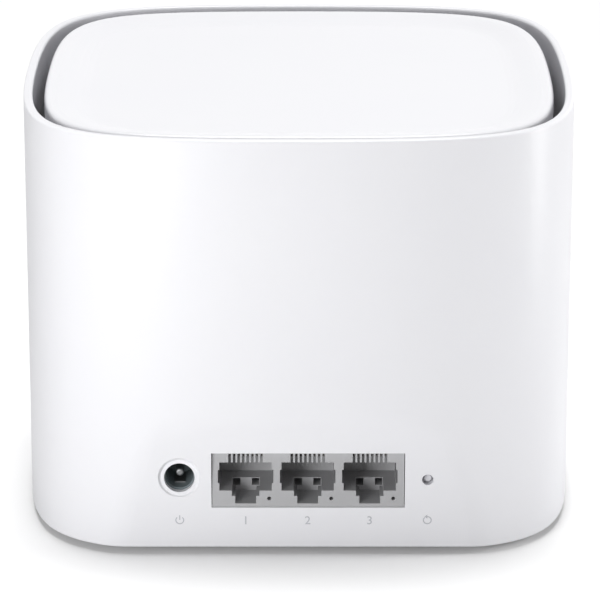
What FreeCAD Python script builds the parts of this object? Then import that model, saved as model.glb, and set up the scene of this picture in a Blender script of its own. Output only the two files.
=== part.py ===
"""Mesh wifi node: a squircle tube shell, a floating dished cover, and the radio board inside.

Millimetres, +Z up. The port side faces -Y, +X is to the right when looking at the ports,
and the origin is the middle of the resting surface under the rubber feet.
"""
import FreeCAD, Part
import math
import os

from FreeCAD import Rotation, Vector

os.makedirs("parts", exist_ok=True)

# ---------------------------------------------------------------- overall body
HALF_WIDTH = 63.4          # centre to the middle of each side of the shell
CORNER_FULLNESS = 0.891    # 0.55 would be a circle, 1.0 nearly a square
SHELL_HEIGHT = 96.4        # shell only, from its bottom edge to its rim
SHELL_WALL = 2.1
FOOT_LIFT = 1.6            # gap between the resting surface and the shell
RIM_ROUND = 0.6
BOTTOM_ROUND = 0.25

# ---------------------------------------------------------------- clearances
FIT_GAP = 0.3              # between neighbouring moulded parts
SLIDE_GAP = 0.5            # round the reset pin, all round
JACK_GAP = 0.15            # between the network jack and its hole in the panel
PART_GAP = 0.05            # between parts that are pushed together by hand

# ---------------------------------------------------------------- top cover
COVER_GAP = 2.7            # open ring between shell and cover, also the warm air outlet
COVER_DROP = 0.5           # cover edge below the rim
COVER_SKIRT = 7.0          # height of the cover's edge
COVER_WALL = 2.0
COVER_PLATE = 2.2          # plate thickness under the lowest part of the dish
DISH_DEPTH = 1.5
DISH_EDGE = 1.4            # flat-ish bright edge outside the dish
DISH_SLOPE = 9.0           # width of the soft slope round the dish
COVER_EDGE_ROUND = 1.2
PEG_RADIUS = 2.5
PEG_LENGTH = 6.0
PEG_PLACE = 30.0           # peg centre to the middle planes

# ---------------------------------------------------------------- port panel
PANEL_DEPTH_BOTTOM = 3.9   # below the middle of the bulged side, at the shell's bottom edge
PANEL_DEPTH_TOP = 1.96     # the same at the foot of the ledge
PANEL_HEIGHT = 25.5        # foot of the ledge above the shell's bottom edge
LEDGE_RISE = 4.5           # ledge foot to the top of its arch
PANEL_WALL = 2.0
PANEL_SIDE_BLEND = 15.0    # radius of the soft edge where the panel runs into the bulged side
LEDGE_COVE = 0.55          # how round the ledge's cove is, as a share of its height and depth

# ---------------------------------------------------------------- ports, heights from the board's top face
BOARD_TOP_ABOVE_SHELL = 10.0
PORT_COUNT = 3
PORT_PITCH = 13.97
PORT_MIDDLE_X = 1.96
JACK_END_WALLS = 1.29      # what the jack is wider than its ports' pitches, both ends together
JACK_SHIFT = 0.1           # jack's middle to the right of its middle port
JACK_HEIGHT = 13.05
JACK_DEPTH = 21.0
JACK_FACE_DEPTH = 3.2      # jack face below the middle of the bulged side
JACK_REAR_WALL = 8.0
PLUG_WIDTH = 11.8
PLUG_FLOOR = 3.9           # bottom of the plug opening above the board
PLUG_HEIGHT = 6.76
PLUG_EAR_HEIGHT = 3.2      # the small widening half way up each side
PLUG_EAR_DEPTH = 0.35
NOTCH_WIDTH = 6.2
NOTCH_FLOOR = 2.6
KEY_WIDTH = 4.7
KEY_FLOOR = 0.8
LATCH_POCKET_FLOOR = 1.9   # behind the notch's front lip the floor is lower
LATCH_POCKET_FRONT = 2.0
LATCH_POCKET_BACK = 8.5
LATCH_HOLE = 1.7           # the two square holes in the pocket's end wall
LATCH_HOLE_PLACE = 2.15    # either side of the port's middle
LATCH_HOLE_DEPTH = 4.0
TEST_HOLE_RADIUS = 0.45
TEST_HOLE_X = 5.3
TEST_HOLE_HEIGHT = 2.0
TEST_HOLE_DEPTH = 6.0
CONTACT_COUNT = 8
CONTACT_PITCH = 1.02
CONTACT_WIDTH = 0.36
CONTACT_THICK = 0.3
SLIT_WIDTH = 0.6
SLIT_FRONT_HEIGHT = 12.75  # top of the contact slits above the board
CONTACT_DROOP = 2.2        # how far the free spring tip hangs into the plug opening
CONTACT_FRONT = 3.0        # spring bend behind the jack's face
CONTACT_FREE_LENGTH = 7.0

DC_BESIDE_JACK = 7.36      # power axis to the left of the network jack
DC_AXIS_HEIGHT = 6.95      # above the board
DC_HOLE_RADIUS = 3.45
DC_RECESS_RADIUS = 4.8     # round recess in front of the hole, at the panel's face
DC_RECESS_FLOOR_RADIUS = 4.25
DC_RECESS_DEPTH = 0.7
DC_BODY_WIDTH = 9.0
DC_BODY_DEPTH = 14.2
DC_BORE_RADIUS = 3.15
DC_BORE_DEPTH = 9.6
DC_PIN_RADIUS = 0.98
DC_PIN_SETBACK = 1.2       # pin's front behind the jack body's face
DC_PIN_DOME = 0.59
DC_PIN_BACK = 1.0          # pin's rear end inside the body's back
DC_TAIL_WIDTH = 1.57
DC_TAIL_THICK = 0.8
DC_SPRING_WIDTH = 2.4
DC_SPRING_THICK = 0.4
DC_SPRING_SETBACK = 3.0
DC_SPRING_END = 0.5        # spring's leg in front of the bore's end

RESET_BESIDE_JACK = 5.29   # reset axis to the right of the network jack
RESET_AXIS_HEIGHT = 6.7    # above the board
RESET_PIN_RADIUS = 0.8
RESET_HEAD_RADIUS = 1.9
RESET_HEAD_LENGTH = 1.2
RESET_PIN_RECESS = 1.2
RESET_TRAVEL = 0.3
SWITCH_SIZE = 6.0
SWITCH_DEPTH = 3.6
SWITCH_STEM_RADIUS = 1.6
SWITCH_STEM_OUT = 1.0
SWITCH_STEM_IN = 1.62      # stem's rear end behind the switch's face
SWITCH_FACE_WALL = 0.72
SWITCH_FLANGE_RADIUS = 2.1
SWITCH_FLANGE_DEPTH = 0.5
SWITCH_CHAMBER_RADIUS = 2.5
DOME_TOP_RADIUS = 0.6
DOME_FOOT_RADIUS = 2.2
DOME_THICK = 0.12
DOME_MARGIN = 0.15         # dome height beyond the travel
SWITCH_LEG_WIDTH = 0.7
SWITCH_LEG_THICK = 0.7
SWITCH_LEG_INSET = 0.8     # leg's middle inside the switch's side
SWITCH_LEG_SETBACK = 1.2

# ---------------------------------------------------------------- base cover, feet, screws
BASE_RECESS = 0.6          # base plate above the shell's bottom edge
BASE_PLATE = 2.2
FOOT_RADIUS = 7.0
FOOT_SIDE_PLACE = 40.0     # foot centres from the middle planes: left and right
FOOT_FRONT_PLACE = 48.0    # ... on the side of the light
FOOT_PORT_PLACE = 44.0     # ... on the port side
FOOT_POCKET = 0.8
FOOT_ROUND = 0.5
VENT_WIDTH = 2.4
VENT_LENGTH = 30.0
VENT_PITCH = 6.0
VENT_COUNT = 7
VENT_MIDDLE_Y = 22.0
LABEL_LENGTH = 46.0
LABEL_WIDTH = 24.0
LABEL_THICK = 0.15
LABEL_POCKET = 0.3
LABEL_MIDDLE_Y = -24.0
SHELL_BOSS_PLACE = 47.2    # shell screw axes from the middle planes
SHELL_BOSS_RADIUS = 3.2
SHELL_BOSS_HEIGHT = 11.0
SHELL_BOSS_WEB = 3.84      # thickness of the web to the shell's corner
FRAME_LEG_PLACE = 37.5     # frame screw axes from the middle planes
STANDOFF_RADIUS = 3.6
SCREW_RADIUS = 1.5
SCREW_HEAD_RADIUS = 2.7
SCREW_HEAD_HEIGHT = 1.6
SCREW_BITE = 8.0
SCREW_DRIVE_RADIUS = 1.0
SCREW_DRIVE_DEPTH = 1.0
SCREW_HOLE_GAP = 0.15

# ---------------------------------------------------------------- board and what stands on it
BOARD_THICK = 1.6
BOARD_HALF_WIDTH = 50.0
BOARD_FULLNESS = 0.95
BOARD_TONGUE_LEFT = 7.1    # tongue beyond the power jack's axis
BOARD_TONGUE_RIGHT = 6.05  # tongue beyond the reset axis
BOARD_TONGUE_DEPTH = 22.0

CAN_WALL = 0.3
CAN_HEIGHT = 3.2
CAN_CORNER = 1.0
MAIN_CAN_SIZE = (28.0, 28.0)
MAIN_CAN_MIDDLE = (-9.0, 0.0)
RADIO_CAN_SIZE = (20.0, 26.0)
RADIO_CAN_MIDDLE = (17.0, 0.0)
PAD_THICK = 1.0
PAD_SHARE = 0.6            # pad's width and depth as a share of the can's
CHIP_CORNER = 0.6          # the cut that marks pin one
CHIPS = {                  # name: x, y, width, depth, height
    "processor": (-14.5, 0.0, 14.0, 14.0, 1.4),
    "memory_chip": (-0.5, 0.0, 8.0, 12.5, 1.1),
    "radio_chip_a": (17.0, -6.5, 9.0, 9.0, 1.0),
    "radio_chip_b": (17.0, 6.5, 9.0, 9.0, 1.0),
    "switch_chip": (34.0, -22.0, 9.0, 9.0, 1.0),
    "flash_chip": (-34.0, 12.0, 6.0, 8.0, 1.2),
    "crystal": (34.0, -12.0, 3.2, 2.5, 0.8),
}
TRANSFORMER_SIZE = (12.0, 8.6, 2.6)
TRANSFORMER_Y = -33.4
TRANSFORMER_BEVEL = 0.4
INDUCTOR_SIZE = (6.0, 6.0, 3.0)
INDUCTOR_BEVEL = 1.0
INDUCTOR_PLACES = ((-38.0, -22.0), (-38.0, -14.0))
CAPACITOR_RADIUS = 2.5
CAPACITOR_TALL = 5.8
CAPACITOR_BASE = 0.8
CAPACITOR_BASE_MARGIN = 0.2
CAPACITOR_PLACES = ((-30.5, -21.0), (-30.5, -13.0))
SINK_SIZE = (54.0, 40.0)
SINK_MIDDLE = (2.0, 0.0)
SINK_PLATE = 2.2
SINK_FIN_HEIGHT = 9.0
SINK_FIN_THICK = 1.2
SINK_FIN_COUNT = 9
SINK_LEG_RADIUS = 2.6
SINK_LEG_INSET = 3.2
SINK_SCREW_RADIUS = 1.0
SINK_SCREW_HEAD_RADIUS = 1.9
SINK_SCREW_HEAD_HEIGHT = 1.3
SINK_SCREW_BITE = 4.0
SINK_SCREW_END_GAP = 0.2

# ---------------------------------------------------------------- inner frame and antennas
FRAME_HALF_WIDTH = 42.5    # outer faces of the frame's four walls
FRAME_WALL = 1.6
FRAME_BOTTOM_ABOVE_BOARD = 19.0
FRAME_LEG_RADIUS = 4.0
FRAME_CORNER_ROUND = 7.0
WINDOW_WIDTH = 46.0
WINDOW_HEIGHT = 16.0
WINDOW_BOTTOM = 7.0        # above the frame's bottom edge
TOP_PLATE_HALF_WIDTH = 52.0
TOP_PLATE_THICK = 2.0
TOP_VENT_RADIUS = 2.5
TOP_VENT_PITCH = 12.0
TOP_VENT_ROW = 4
ANTENNA_LENGTH = 42.0
ANTENNA_HEIGHT = 11.0
ANTENNA_THICK = 0.8
ANTENNA_BELOW_TOP_PLATE = 6.0
ANTENNA_PEG_RADIUS = 1.0
ANTENNA_PEG_OUT = 2.0
ANTENNA_PEG_INSET = 3.0    # peg inside the antenna board's end
ANTENNA_SLOT_WIDTH = 1.2
ANTENNA_SLOT_FLOOR = 4.95  # slot's end above the antenna board's bottom edge
LEAD_RADIUS = 0.6
LEAD_LIFT = 0.9            # lead axis above the board where it runs level
LEAD_START = 2.0           # top of the lead above its antenna's bottom edge
LEAD_SHIFT = (-15.0, -7.0, 9.0, -5.0)     # where each lead leaves its antenna, from that side's middle
# corners of a lead's route: along the side, inwards, and up from where it runs level
LEAD_ROUTE_PORT_SIDE = ((0.0, 0.0, 38.7), (-1.5, 6.4, 26.7), (-4.5, 11.4, 14.7), (-6.0, 12.9, 5.2),
                        (-11.5, 13.6, 0.0), (-18.0, 13.9, 0.0))
LEAD_ROUTE_OTHERS = ((0.0, 0.0, 42.0), (-1.2, 0.0, 26.0), (0.2, 0.0, 9.7), (0.3, 4.0, 2.75),
                     (0.3, 8.8, 0.0), (0.3, 13.3, 0.0))
LEAD_BEND_SHARE = 0.45     # how much of each run its bends may use
FEED_PAD = (2.0, 2.0)      # width and height of the soldered feed at the antenna
PLUG_SIZE = 2.6
PLUG_TALL = 1.7
PLUG_TAIL = 1.82
PLUG_TAIL_WALL = 0.2

# ---------------------------------------------------------------- status light
LIGHT_WINDOW_WIDTH = 6.0
LIGHT_WINDOW_HEIGHT = 1.6
LIGHT_ABOVE_BOARD = 0.3
LIGHT_SIDE_GAP = 0.1
LIGHT_PIPE_WIDTH = 3.6
LIGHT_LENS_DEPTH = 3.2
LIGHT_CORNER = 0.3         # cut corners of window and lens, as a share of the height
LIGHT_PIPE_FOOT = 0.5      # pipe's foot stops short of the board's edge
LED_SIZE = (3.0, 1.2, 1.5)
LED_INSET = 3.0            # LED behind the board's front edge

# ---------------------------------------------------------------- derived levels and places
SHELL_BOTTOM = FOOT_LIFT
SHELL_TOP = SHELL_BOTTOM + SHELL_HEIGHT
BASE_BOTTOM = SHELL_BOTTOM + BASE_RECESS
BASE_TOP = BASE_BOTTOM + BASE_PLATE
BOARD_TOP = SHELL_BOTTOM + BOARD_TOP_ABOVE_SHELL
BOARD_BOTTOM = BOARD_TOP - BOARD_THICK
COVER_TOP = SHELL_TOP - COVER_DROP
COVER_UNDER = COVER_TOP - DISH_DEPTH - COVER_PLATE
COVER_INSET = SHELL_WALL + COVER_GAP
FRAME_PLATE_TOP = COVER_TOP - COVER_SKIRT
FRAME_PLATE_BOTTOM = FRAME_PLATE_TOP - TOP_PLATE_THICK
FRAME_BOTTOM = BOARD_TOP + FRAME_BOTTOM_ABOVE_BOARD
JACK_FACE_Y = -HALF_WIDTH + JACK_FACE_DEPTH
JACK_WIDTH = PORT_COUNT * PORT_PITCH + JACK_END_WALLS
JACK_MIDDLE_X = PORT_MIDDLE_X + JACK_SHIFT
DC_X = JACK_MIDDLE_X - JACK_WIDTH / 2 - DC_BESIDE_JACK
RESET_X = JACK_MIDDLE_X + JACK_WIDTH / 2 + RESET_BESIDE_JACK
PANEL_SLOPE = (PANEL_DEPTH_BOTTOM - PANEL_DEPTH_TOP) / PANEL_HEIGHT
BOARD_FRONT_Y = -HALF_WIDTH + PANEL_DEPTH_BOTTOM + PANEL_WALL + FIT_GAP
OVERSIZE = 10.0            # how far a cutting tool runs past what it cuts
CLOSE = 1e-4               # two levels nearer than this are the same level

printed = []


# ================================================================ small helpers
def export(name, shape):
    """Write one sub-part as parts/NAME.step and print its volume."""
    solids = shape.Solids
    whole = solids[0] if len(solids) == 1 else Part.makeCompound(solids)
    whole.exportStep("parts/" + name + ".step")
    printed.append(name)
    print(f"{name:24s} solids {len(solids):3d}  volume {whole.Volume:10.2f}  valid {whole.isValid()}")


def box(x0, x1, y0, y1, z0, z1):
    """A box between two corners."""
    return Part.makeBox(x1 - x0, y1 - y0, z1 - z0, Vector(x0, y0, z0))


def centred_box(x, y, width, depth, z0, z1):
    """A box centred on x, y in plan."""
    return box(x - width / 2, x + width / 2, y - depth / 2, y + depth / 2, z0, z1)


def post(x, y, radius, z0, z1):
    """An upright cylinder."""
    return Part.makeCylinder(radius, z1 - z0, Vector(x, y, z0))


def rod_y(x, z, radius, y0, y1):
    """A cylinder along +Y from y0 to y1."""
    return Part.makeCylinder(radius, y1 - y0, Vector(x, y0, z), Vector(0, 1, 0))


def four_corners(place):
    """The four plan points at plus or minus place."""
    return [(sx * place, sy * place) for sx in (-1, 1) for sy in (-1, 1)]


def fullness_for(half_width):
    """Fullness of an outline inside the shell, so that the wall is even on the flats and the corners."""
    corner = (3 * CORNER_FULLNESS + 4) / 8 * HALF_WIDTH * math.sqrt(2)
    corner_inside = corner - (HALF_WIDTH - half_width)
    return (corner_inside * 8 / (math.sqrt(2) * half_width) - 4) / 3


def squircle(half_width, z, fullness=None):
    """A closed outline of four equal Bezier curves, each from one side's middle to the next."""
    reach = (fullness_for(half_width) if fullness is None else fullness) * half_width
    edges = []
    for quarter in range(4):
        turn = Rotation(Vector(0, 0, 1), 90 * quarter)
        points = [(0, -half_width), (reach, -half_width), (half_width, -reach), (half_width, 0)]
        curve = Part.BezierCurve()
        curve.setPoles([turn.multVec(Vector(x, y, 0)) + Vector(0, 0, z) for x, y in points])
        edges.append(curve.toShape())
    return Part.Wire(edges)


def squircle_prism(half_width, z0, z1, fullness=None):
    """A solid squircle from z0 up to z1."""
    face = Part.Face(squircle(half_width, z0, fullness))
    return face.extrude(Vector(0, 0, z1 - z0))


def extrude_profile_x(points, x0, x1):
    """A solid with a closed profile of (y, z) points, extruded along X."""
    wire = Part.makePolygon([Vector(x0, y, z) for y, z in points + points[:1]])
    return Part.Face(wire).extrude(Vector(x1 - x0, 0, 0))


def edges_at_height(shape, z):
    """All edges that lie level at height z."""
    return [e for e in shape.Edges
            if abs(e.BoundBox.ZMin - z) < CLOSE and abs(e.BoundBox.ZMax - z) < CLOSE]


def panel_y(z, behind=0.0):
    """Y of the leaning port panel at height z, or of a plane at a level distance behind it."""
    return -HALF_WIDTH + PANEL_DEPTH_BOTTOM - PANEL_SLOPE * (z - SHELL_BOTTOM) + behind


# ================================================================ shell
def panel_cutter(behind=0.0):
    """Everything in front of the port panel and under its coved ledge, or a wall's thickness behind that."""
    left = -HALF_WIDTH
    low = SHELL_BOTTOM - OVERSIZE
    far_y = -HALF_WIDTH - OVERSIZE
    foot_z = SHELL_BOTTOM + PANEL_HEIGHT + behind
    foot_y = panel_y(foot_z, behind)
    top_y = -HALF_WIDTH + behind
    top_z = foot_z + LEDGE_RISE
    cove = Part.BezierCurve()
    reach_y = (foot_y - top_y) * LEDGE_COVE
    reach_z = LEDGE_RISE * LEDGE_COVE
    cove_points = [(foot_y, foot_z), (foot_y - PANEL_SLOPE * reach_z, foot_z + reach_z),
                   (top_y + reach_y, top_z), (top_y, top_z)]
    cove.setPoles([Vector(left, y, z) for y, z in cove_points])
    rest = [(top_y, top_z), (far_y, top_z), (far_y, low), (panel_y(low, behind), low), (foot_y, foot_z)]
    corners = [Vector(left, y, z) for y, z in rest]
    lines = [Part.makeLine(start, end) for start, end in zip(corners, corners[1:])]
    return Part.Face(Part.Wire([cove.toShape()] + lines)).extrude(Vector(2 * HALF_WIDTH, 0, 0))


def make_outer_shell():
    """The tube with its rim, the recessed port panel, the port holes and four screw bosses."""
    outside = squircle_prism(HALF_WIDTH, SHELL_BOTTOM, SHELL_TOP).cut(panel_cutter())
    outside = outside.makeFillet(PANEL_SIDE_BLEND, panel_side_edges(outside))
    hollow = squircle_prism(HALF_WIDTH - SHELL_WALL, SHELL_BOTTOM - 1, SHELL_TOP + 1)
    shell = outside.cut(hollow.cut(panel_cutter(PANEL_WALL))).cut(light_window(0.0))
    shell = shell.makeFillet(RIM_ROUND, edges_at_height(shell, SHELL_TOP))
    shell = shell.makeFillet(BOTTOM_ROUND, edges_at_height(shell, SHELL_BOTTOM))
    boss_bottom = BASE_TOP
    boss_top = boss_bottom + SHELL_BOSS_HEIGHT
    for x, y in four_corners(SHELL_BOSS_PLACE):
        shell = shell.fuse(shell_boss(x, y, boss_bottom, boss_top))
    for x, y in four_corners(SHELL_BOSS_PLACE):
        shell = shell.cut(post(x, y, SCREW_RADIUS, boss_bottom - 1, boss_bottom + SCREW_BITE + 1))
    for hole in panel_holes():
        shell = shell.cut(hole)
    return shell


def panel_side_edges(solid):
    """The two edges where the flat panel runs into the bulged side."""
    foot_z = SHELL_BOTTOM + PANEL_HEIGHT
    return [e for e in solid.Edges
            if e.BoundBox.YMax < -HALF_WIDTH + PANEL_DEPTH_BOTTOM + CLOSE
            and abs(e.BoundBox.ZMin - SHELL_BOTTOM) < CLOSE and abs(e.BoundBox.ZMax - foot_z) < CLOSE]


def shell_boss(x, y, z0, z1):
    """A screw boss and the web that ties it to the shell's corner."""
    boss = post(x, y, SHELL_BOSS_RADIUS, z0, z1)
    web = box(0, HALF_WIDTH / 2, -SHELL_BOSS_WEB / 2, SHELL_BOSS_WEB / 2, z0, z1)
    web.rotate(Vector(0, 0, 0), Vector(0, 0, 1), math.degrees(math.atan2(y, x)))
    web.translate(Vector(x, y, 0))
    inside_wall = squircle_prism(HALF_WIDTH - SHELL_WALL / 2, z0, z1)
    return boss.fuse(web.common(inside_wall))


def jack_box(gap):
    """The outer box of the network jack, grown by a gap in X and upwards."""
    x0 = JACK_MIDDLE_X - JACK_WIDTH / 2 - gap
    x1 = JACK_MIDDLE_X + JACK_WIDTH / 2 + gap
    return (x0, x1, JACK_FACE_Y, JACK_FACE_Y + JACK_DEPTH, BOARD_TOP, BOARD_TOP + JACK_HEIGHT + gap)


def panel_holes():
    """Cutters for the network jack, the power jack with its round recess, and the reset pin."""
    x0, x1, y0, y1, z0, z1 = jack_box(JACK_GAP)
    jack_hole = box(x0, x1, y0 - OVERSIZE, y1, z0 - JACK_GAP, z1)
    dc_z = BOARD_TOP + DC_AXIS_HEIGHT
    front_y = panel_y(dc_z)
    flare = (DC_RECESS_RADIUS - DC_RECESS_FLOOR_RADIUS) / DC_RECESS_DEPTH
    recess = Part.makeCone(DC_RECESS_RADIUS + flare, DC_RECESS_FLOOR_RADIUS, DC_RECESS_DEPTH + 1,
                           Vector(DC_X, front_y - 1, dc_z), Vector(0, 1, 0))
    dc_hole = rod_y(DC_X, dc_z, DC_HOLE_RADIUS, front_y - OVERSIZE, front_y + OVERSIZE)
    reset_z = BOARD_TOP + RESET_AXIS_HEIGHT
    reset_y = panel_y(reset_z)
    reset_hole = rod_y(RESET_X, reset_z, RESET_PIN_RADIUS + SLIDE_GAP, reset_y - OVERSIZE, reset_y + OVERSIZE)
    return [jack_hole, recess.fuse(dc_hole), reset_hole]


def light_window(gap):
    """The slot through the front wall for the status lens, shrunk by a gap."""
    z = BOARD_TOP + LIGHT_ABOVE_BOARD
    width = LIGHT_WINDOW_WIDTH - 2 * gap
    height = LIGHT_WINDOW_HEIGHT - 2 * gap
    slot = box(-width / 2, width / 2, HALF_WIDTH - SHELL_WALL * 2, HALF_WIDTH + 2, z, z + height)
    long_edges = [e for e in slot.Edges if e.BoundBox.YLength > SHELL_WALL]
    return slot.makeChamfer(height * LIGHT_CORNER, long_edges)


# ================================================================ top cover
def make_top_cover():
    """The floating lid: a dished plate with a rounded edge, a skirt and four pegs."""
    half = HALF_WIDTH - COVER_INSET
    skirt_bottom = COVER_TOP - COVER_SKIRT
    solid = squircle_prism(half, skirt_bottom, COVER_TOP)
    solid = solid.makeFillet(COVER_EDGE_ROUND, edges_at_height(solid, COVER_TOP))
    hollow = squircle_prism(half - COVER_WALL, skirt_bottom - 1, COVER_UNDER)
    cover = solid.cut(hollow).cut(dish_cutter(half))
    for x, y in four_corners(PEG_PLACE):
        peg = post(x, y, PEG_RADIUS, FRAME_PLATE_TOP - PEG_LENGTH, COVER_UNDER + COVER_PLATE / 2)
        shoulder = post(x, y, PEG_RADIUS + COVER_WALL, FRAME_PLATE_TOP, COVER_UNDER + COVER_PLATE / 2)
        cover = cover.fuse(peg).fuse(shoulder)
    return cover.removeSplitter()


def dish_cutter(half):
    """The shallow dish: a smooth loft through outlines that shrink as they go down."""
    start = half - DISH_EDGE
    steps = 6
    wires = [squircle(start + DISH_EDGE / 4, COVER_TOP + DISH_DEPTH / 4)]
    for step in range(steps + 1):
        share = step / steps
        drop = DISH_DEPTH * (1 - math.cos(math.pi * share)) / 2
        wires.append(squircle(start - DISH_SLOPE * share, COVER_TOP - drop))
    return Part.makeLoft(wires, True, True)


# ================================================================ base cover and feet
def make_base_cover():
    """The underside plate with vents, foot pockets, screw holes, a label pocket and standoffs."""
    half = HALF_WIDTH - SHELL_WALL - FIT_GAP
    plate = squircle_prism(half, BASE_BOTTOM, BASE_TOP).cut(panel_cutter(PANEL_WALL + FIT_GAP))
    for x, y in four_corners(FRAME_LEG_PLACE):
        plate = plate.fuse(post(x, y, STANDOFF_RADIUS, BASE_TOP - BASE_PLATE / 2, BOARD_BOTTOM))
    hole_radius = SCREW_RADIUS + SCREW_HOLE_GAP
    for x, y in four_corners(FRAME_LEG_PLACE) + four_corners(SHELL_BOSS_PLACE):
        plate = plate.cut(post(x, y, hole_radius, BASE_BOTTOM - 1, BOARD_BOTTOM + 1))
        head_top = BASE_BOTTOM + SCREW_HEAD_HEIGHT
        plate = plate.cut(post(x, y, SCREW_HEAD_RADIUS + FIT_GAP, BASE_BOTTOM - 1, head_top))
    for x, y in foot_places():
        plate = plate.cut(post(x, y, FOOT_RADIUS + PART_GAP, BASE_BOTTOM - 1, BASE_BOTTOM + FOOT_POCKET))
    for index in range(VENT_COUNT):
        x = (index - (VENT_COUNT - 1) / 2) * VENT_PITCH
        plate = plate.cut(slot_along_y(x, VENT_MIDDLE_Y, VENT_WIDTH, VENT_LENGTH,
                                       BASE_BOTTOM - 1, BASE_TOP + 1))
    label_room = centred_box(0, LABEL_MIDDLE_Y, LABEL_LENGTH + FIT_GAP, LABEL_WIDTH + FIT_GAP,
                             BASE_BOTTOM - 1, BASE_BOTTOM + LABEL_POCKET)
    return plate.cut(label_room).removeSplitter()


def slot_along_y(x, y, width, length, z0, z1):
    """A slot with round ends, long in Y."""
    straight = length - width
    middle = centred_box(x, y, width, straight, z0, z1)
    ends = [post(x, y + side * straight / 2, width / 2, z0, z1) for side in (-1, 1)]
    return middle.fuse(ends)


def foot_places():
    """Feet stand at the middle of each side, clear of all eight screws, the vents and the label."""
    return [(-FOOT_SIDE_PLACE, 0), (FOOT_SIDE_PLACE, 0), (0, FOOT_FRONT_PLACE), (0, -FOOT_PORT_PLACE)]


def make_foot(x, y):
    """One round rubber foot with a rounded lower edge."""
    foot = post(x, y, FOOT_RADIUS, 0, BASE_BOTTOM + FOOT_POCKET)
    return foot.makeFillet(FOOT_ROUND, edges_at_height(foot, 0))


def make_label():
    """The blank rating label on the underside."""
    top = BASE_BOTTOM + LABEL_POCKET
    return centred_box(0, LABEL_MIDDLE_Y, LABEL_LENGTH, LABEL_WIDTH, top - LABEL_THICK, top)


def make_screw(x, y, radius, head_radius, head_height, head_bottom, tip):
    """One pan head screw pointing up, with a round drive recess in its head."""
    screw = post(x, y, head_radius, head_bottom, head_bottom + head_height)
    screw = screw.fuse(post(x, y, radius, head_bottom + head_height / 2, tip))
    drive = post(x, y, SCREW_DRIVE_RADIUS, head_bottom - 1, head_bottom + SCREW_DRIVE_DEPTH)
    return screw.cut(drive)


def make_shell_screws():
    """Four screws through the base cover into the shell's bosses."""
    tip = BASE_TOP + SCREW_BITE
    return [make_screw(x, y, SCREW_RADIUS, SCREW_HEAD_RADIUS, SCREW_HEAD_HEIGHT, BASE_BOTTOM, tip)
            for x, y in four_corners(SHELL_BOSS_PLACE)]


def make_frame_screws():
    """Four longer screws through base cover and board into the inner frame's legs."""
    tip = BOARD_TOP + SCREW_BITE
    return [make_screw(x, y, SCREW_RADIUS, SCREW_HEAD_RADIUS, SCREW_HEAD_HEIGHT, BASE_BOTTOM, tip)
            for x, y in four_corners(FRAME_LEG_PLACE)]


# ================================================================ board
def make_main_board():
    """The level circuit board with a tongue that reaches the port panel."""
    board = squircle_prism(BOARD_HALF_WIDTH, BOARD_BOTTOM, BOARD_TOP, BOARD_FULLNESS)
    tongue = box(DC_X - BOARD_TONGUE_LEFT, RESET_X + BOARD_TONGUE_RIGHT,
                 BOARD_FRONT_Y, BOARD_FRONT_Y + BOARD_TONGUE_DEPTH, BOARD_BOTTOM, BOARD_TOP)
    board = board.fuse(tongue)
    for x, y in four_corners(FRAME_LEG_PLACE):
        board = board.cut(post(x, y, SCREW_RADIUS + SCREW_HOLE_GAP, BOARD_BOTTOM - 1, BOARD_TOP + 1))
    for x, y in sink_leg_places():
        board = board.cut(post(x, y, SINK_SCREW_RADIUS + SCREW_HOLE_GAP, BOARD_BOTTOM - 1, BOARD_TOP + 1))
    return board.removeSplitter()


# ================================================================ network jack
def port_middles():
    """X of the middle of each network port, left to right."""
    return [PORT_MIDDLE_X + (index - (PORT_COUNT - 1) / 2) * PORT_PITCH for index in range(PORT_COUNT)]


def contact_middles(port_x):
    """X of the middle of each contact in one port."""
    return [port_x + (index - (CONTACT_COUNT - 1) / 2) * CONTACT_PITCH for index in range(CONTACT_COUNT)]


def contact_levels():
    """Heights and depths that the contact springs and their slits share."""
    plug_top = BOARD_TOP + PLUG_FLOOR + PLUG_HEIGHT
    run_z = BOARD_TOP + SLIT_FRONT_HEIGHT - 2 * CONTACT_THICK
    front_y = JACK_FACE_Y + CONTACT_FRONT
    cavity_back = JACK_FACE_Y + JACK_DEPTH - JACK_REAR_WALL
    tail_y = cavity_back + JACK_REAR_WALL / 2
    return plug_top, run_z, front_y, cavity_back, tail_y


def contact_profile():
    """Side view of one contact: board tail, level run over the plug opening, free spring hanging in."""
    plug_top, run_z, front_y, cavity_back, tail_y = contact_levels()
    thick = CONTACT_THICK
    tip_y = front_y + CONTACT_FREE_LENGTH
    tip_z = plug_top - CONTACT_DROOP
    return [(tail_y, BOARD_TOP), (tail_y + thick, BOARD_TOP), (tail_y + thick, run_z + thick),
            (front_y, run_z + thick), (front_y, run_z), (tip_y, tip_z), (tip_y + thick, tip_z + thick),
            (front_y + 4 * thick, run_z), (tail_y, run_z)]


def make_contacts(port_x):
    """The eight contact springs of one port."""
    half = CONTACT_WIDTH / 2
    return [extrude_profile_x(contact_profile(), x - half, x + half) for x in contact_middles(port_x)]


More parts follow.
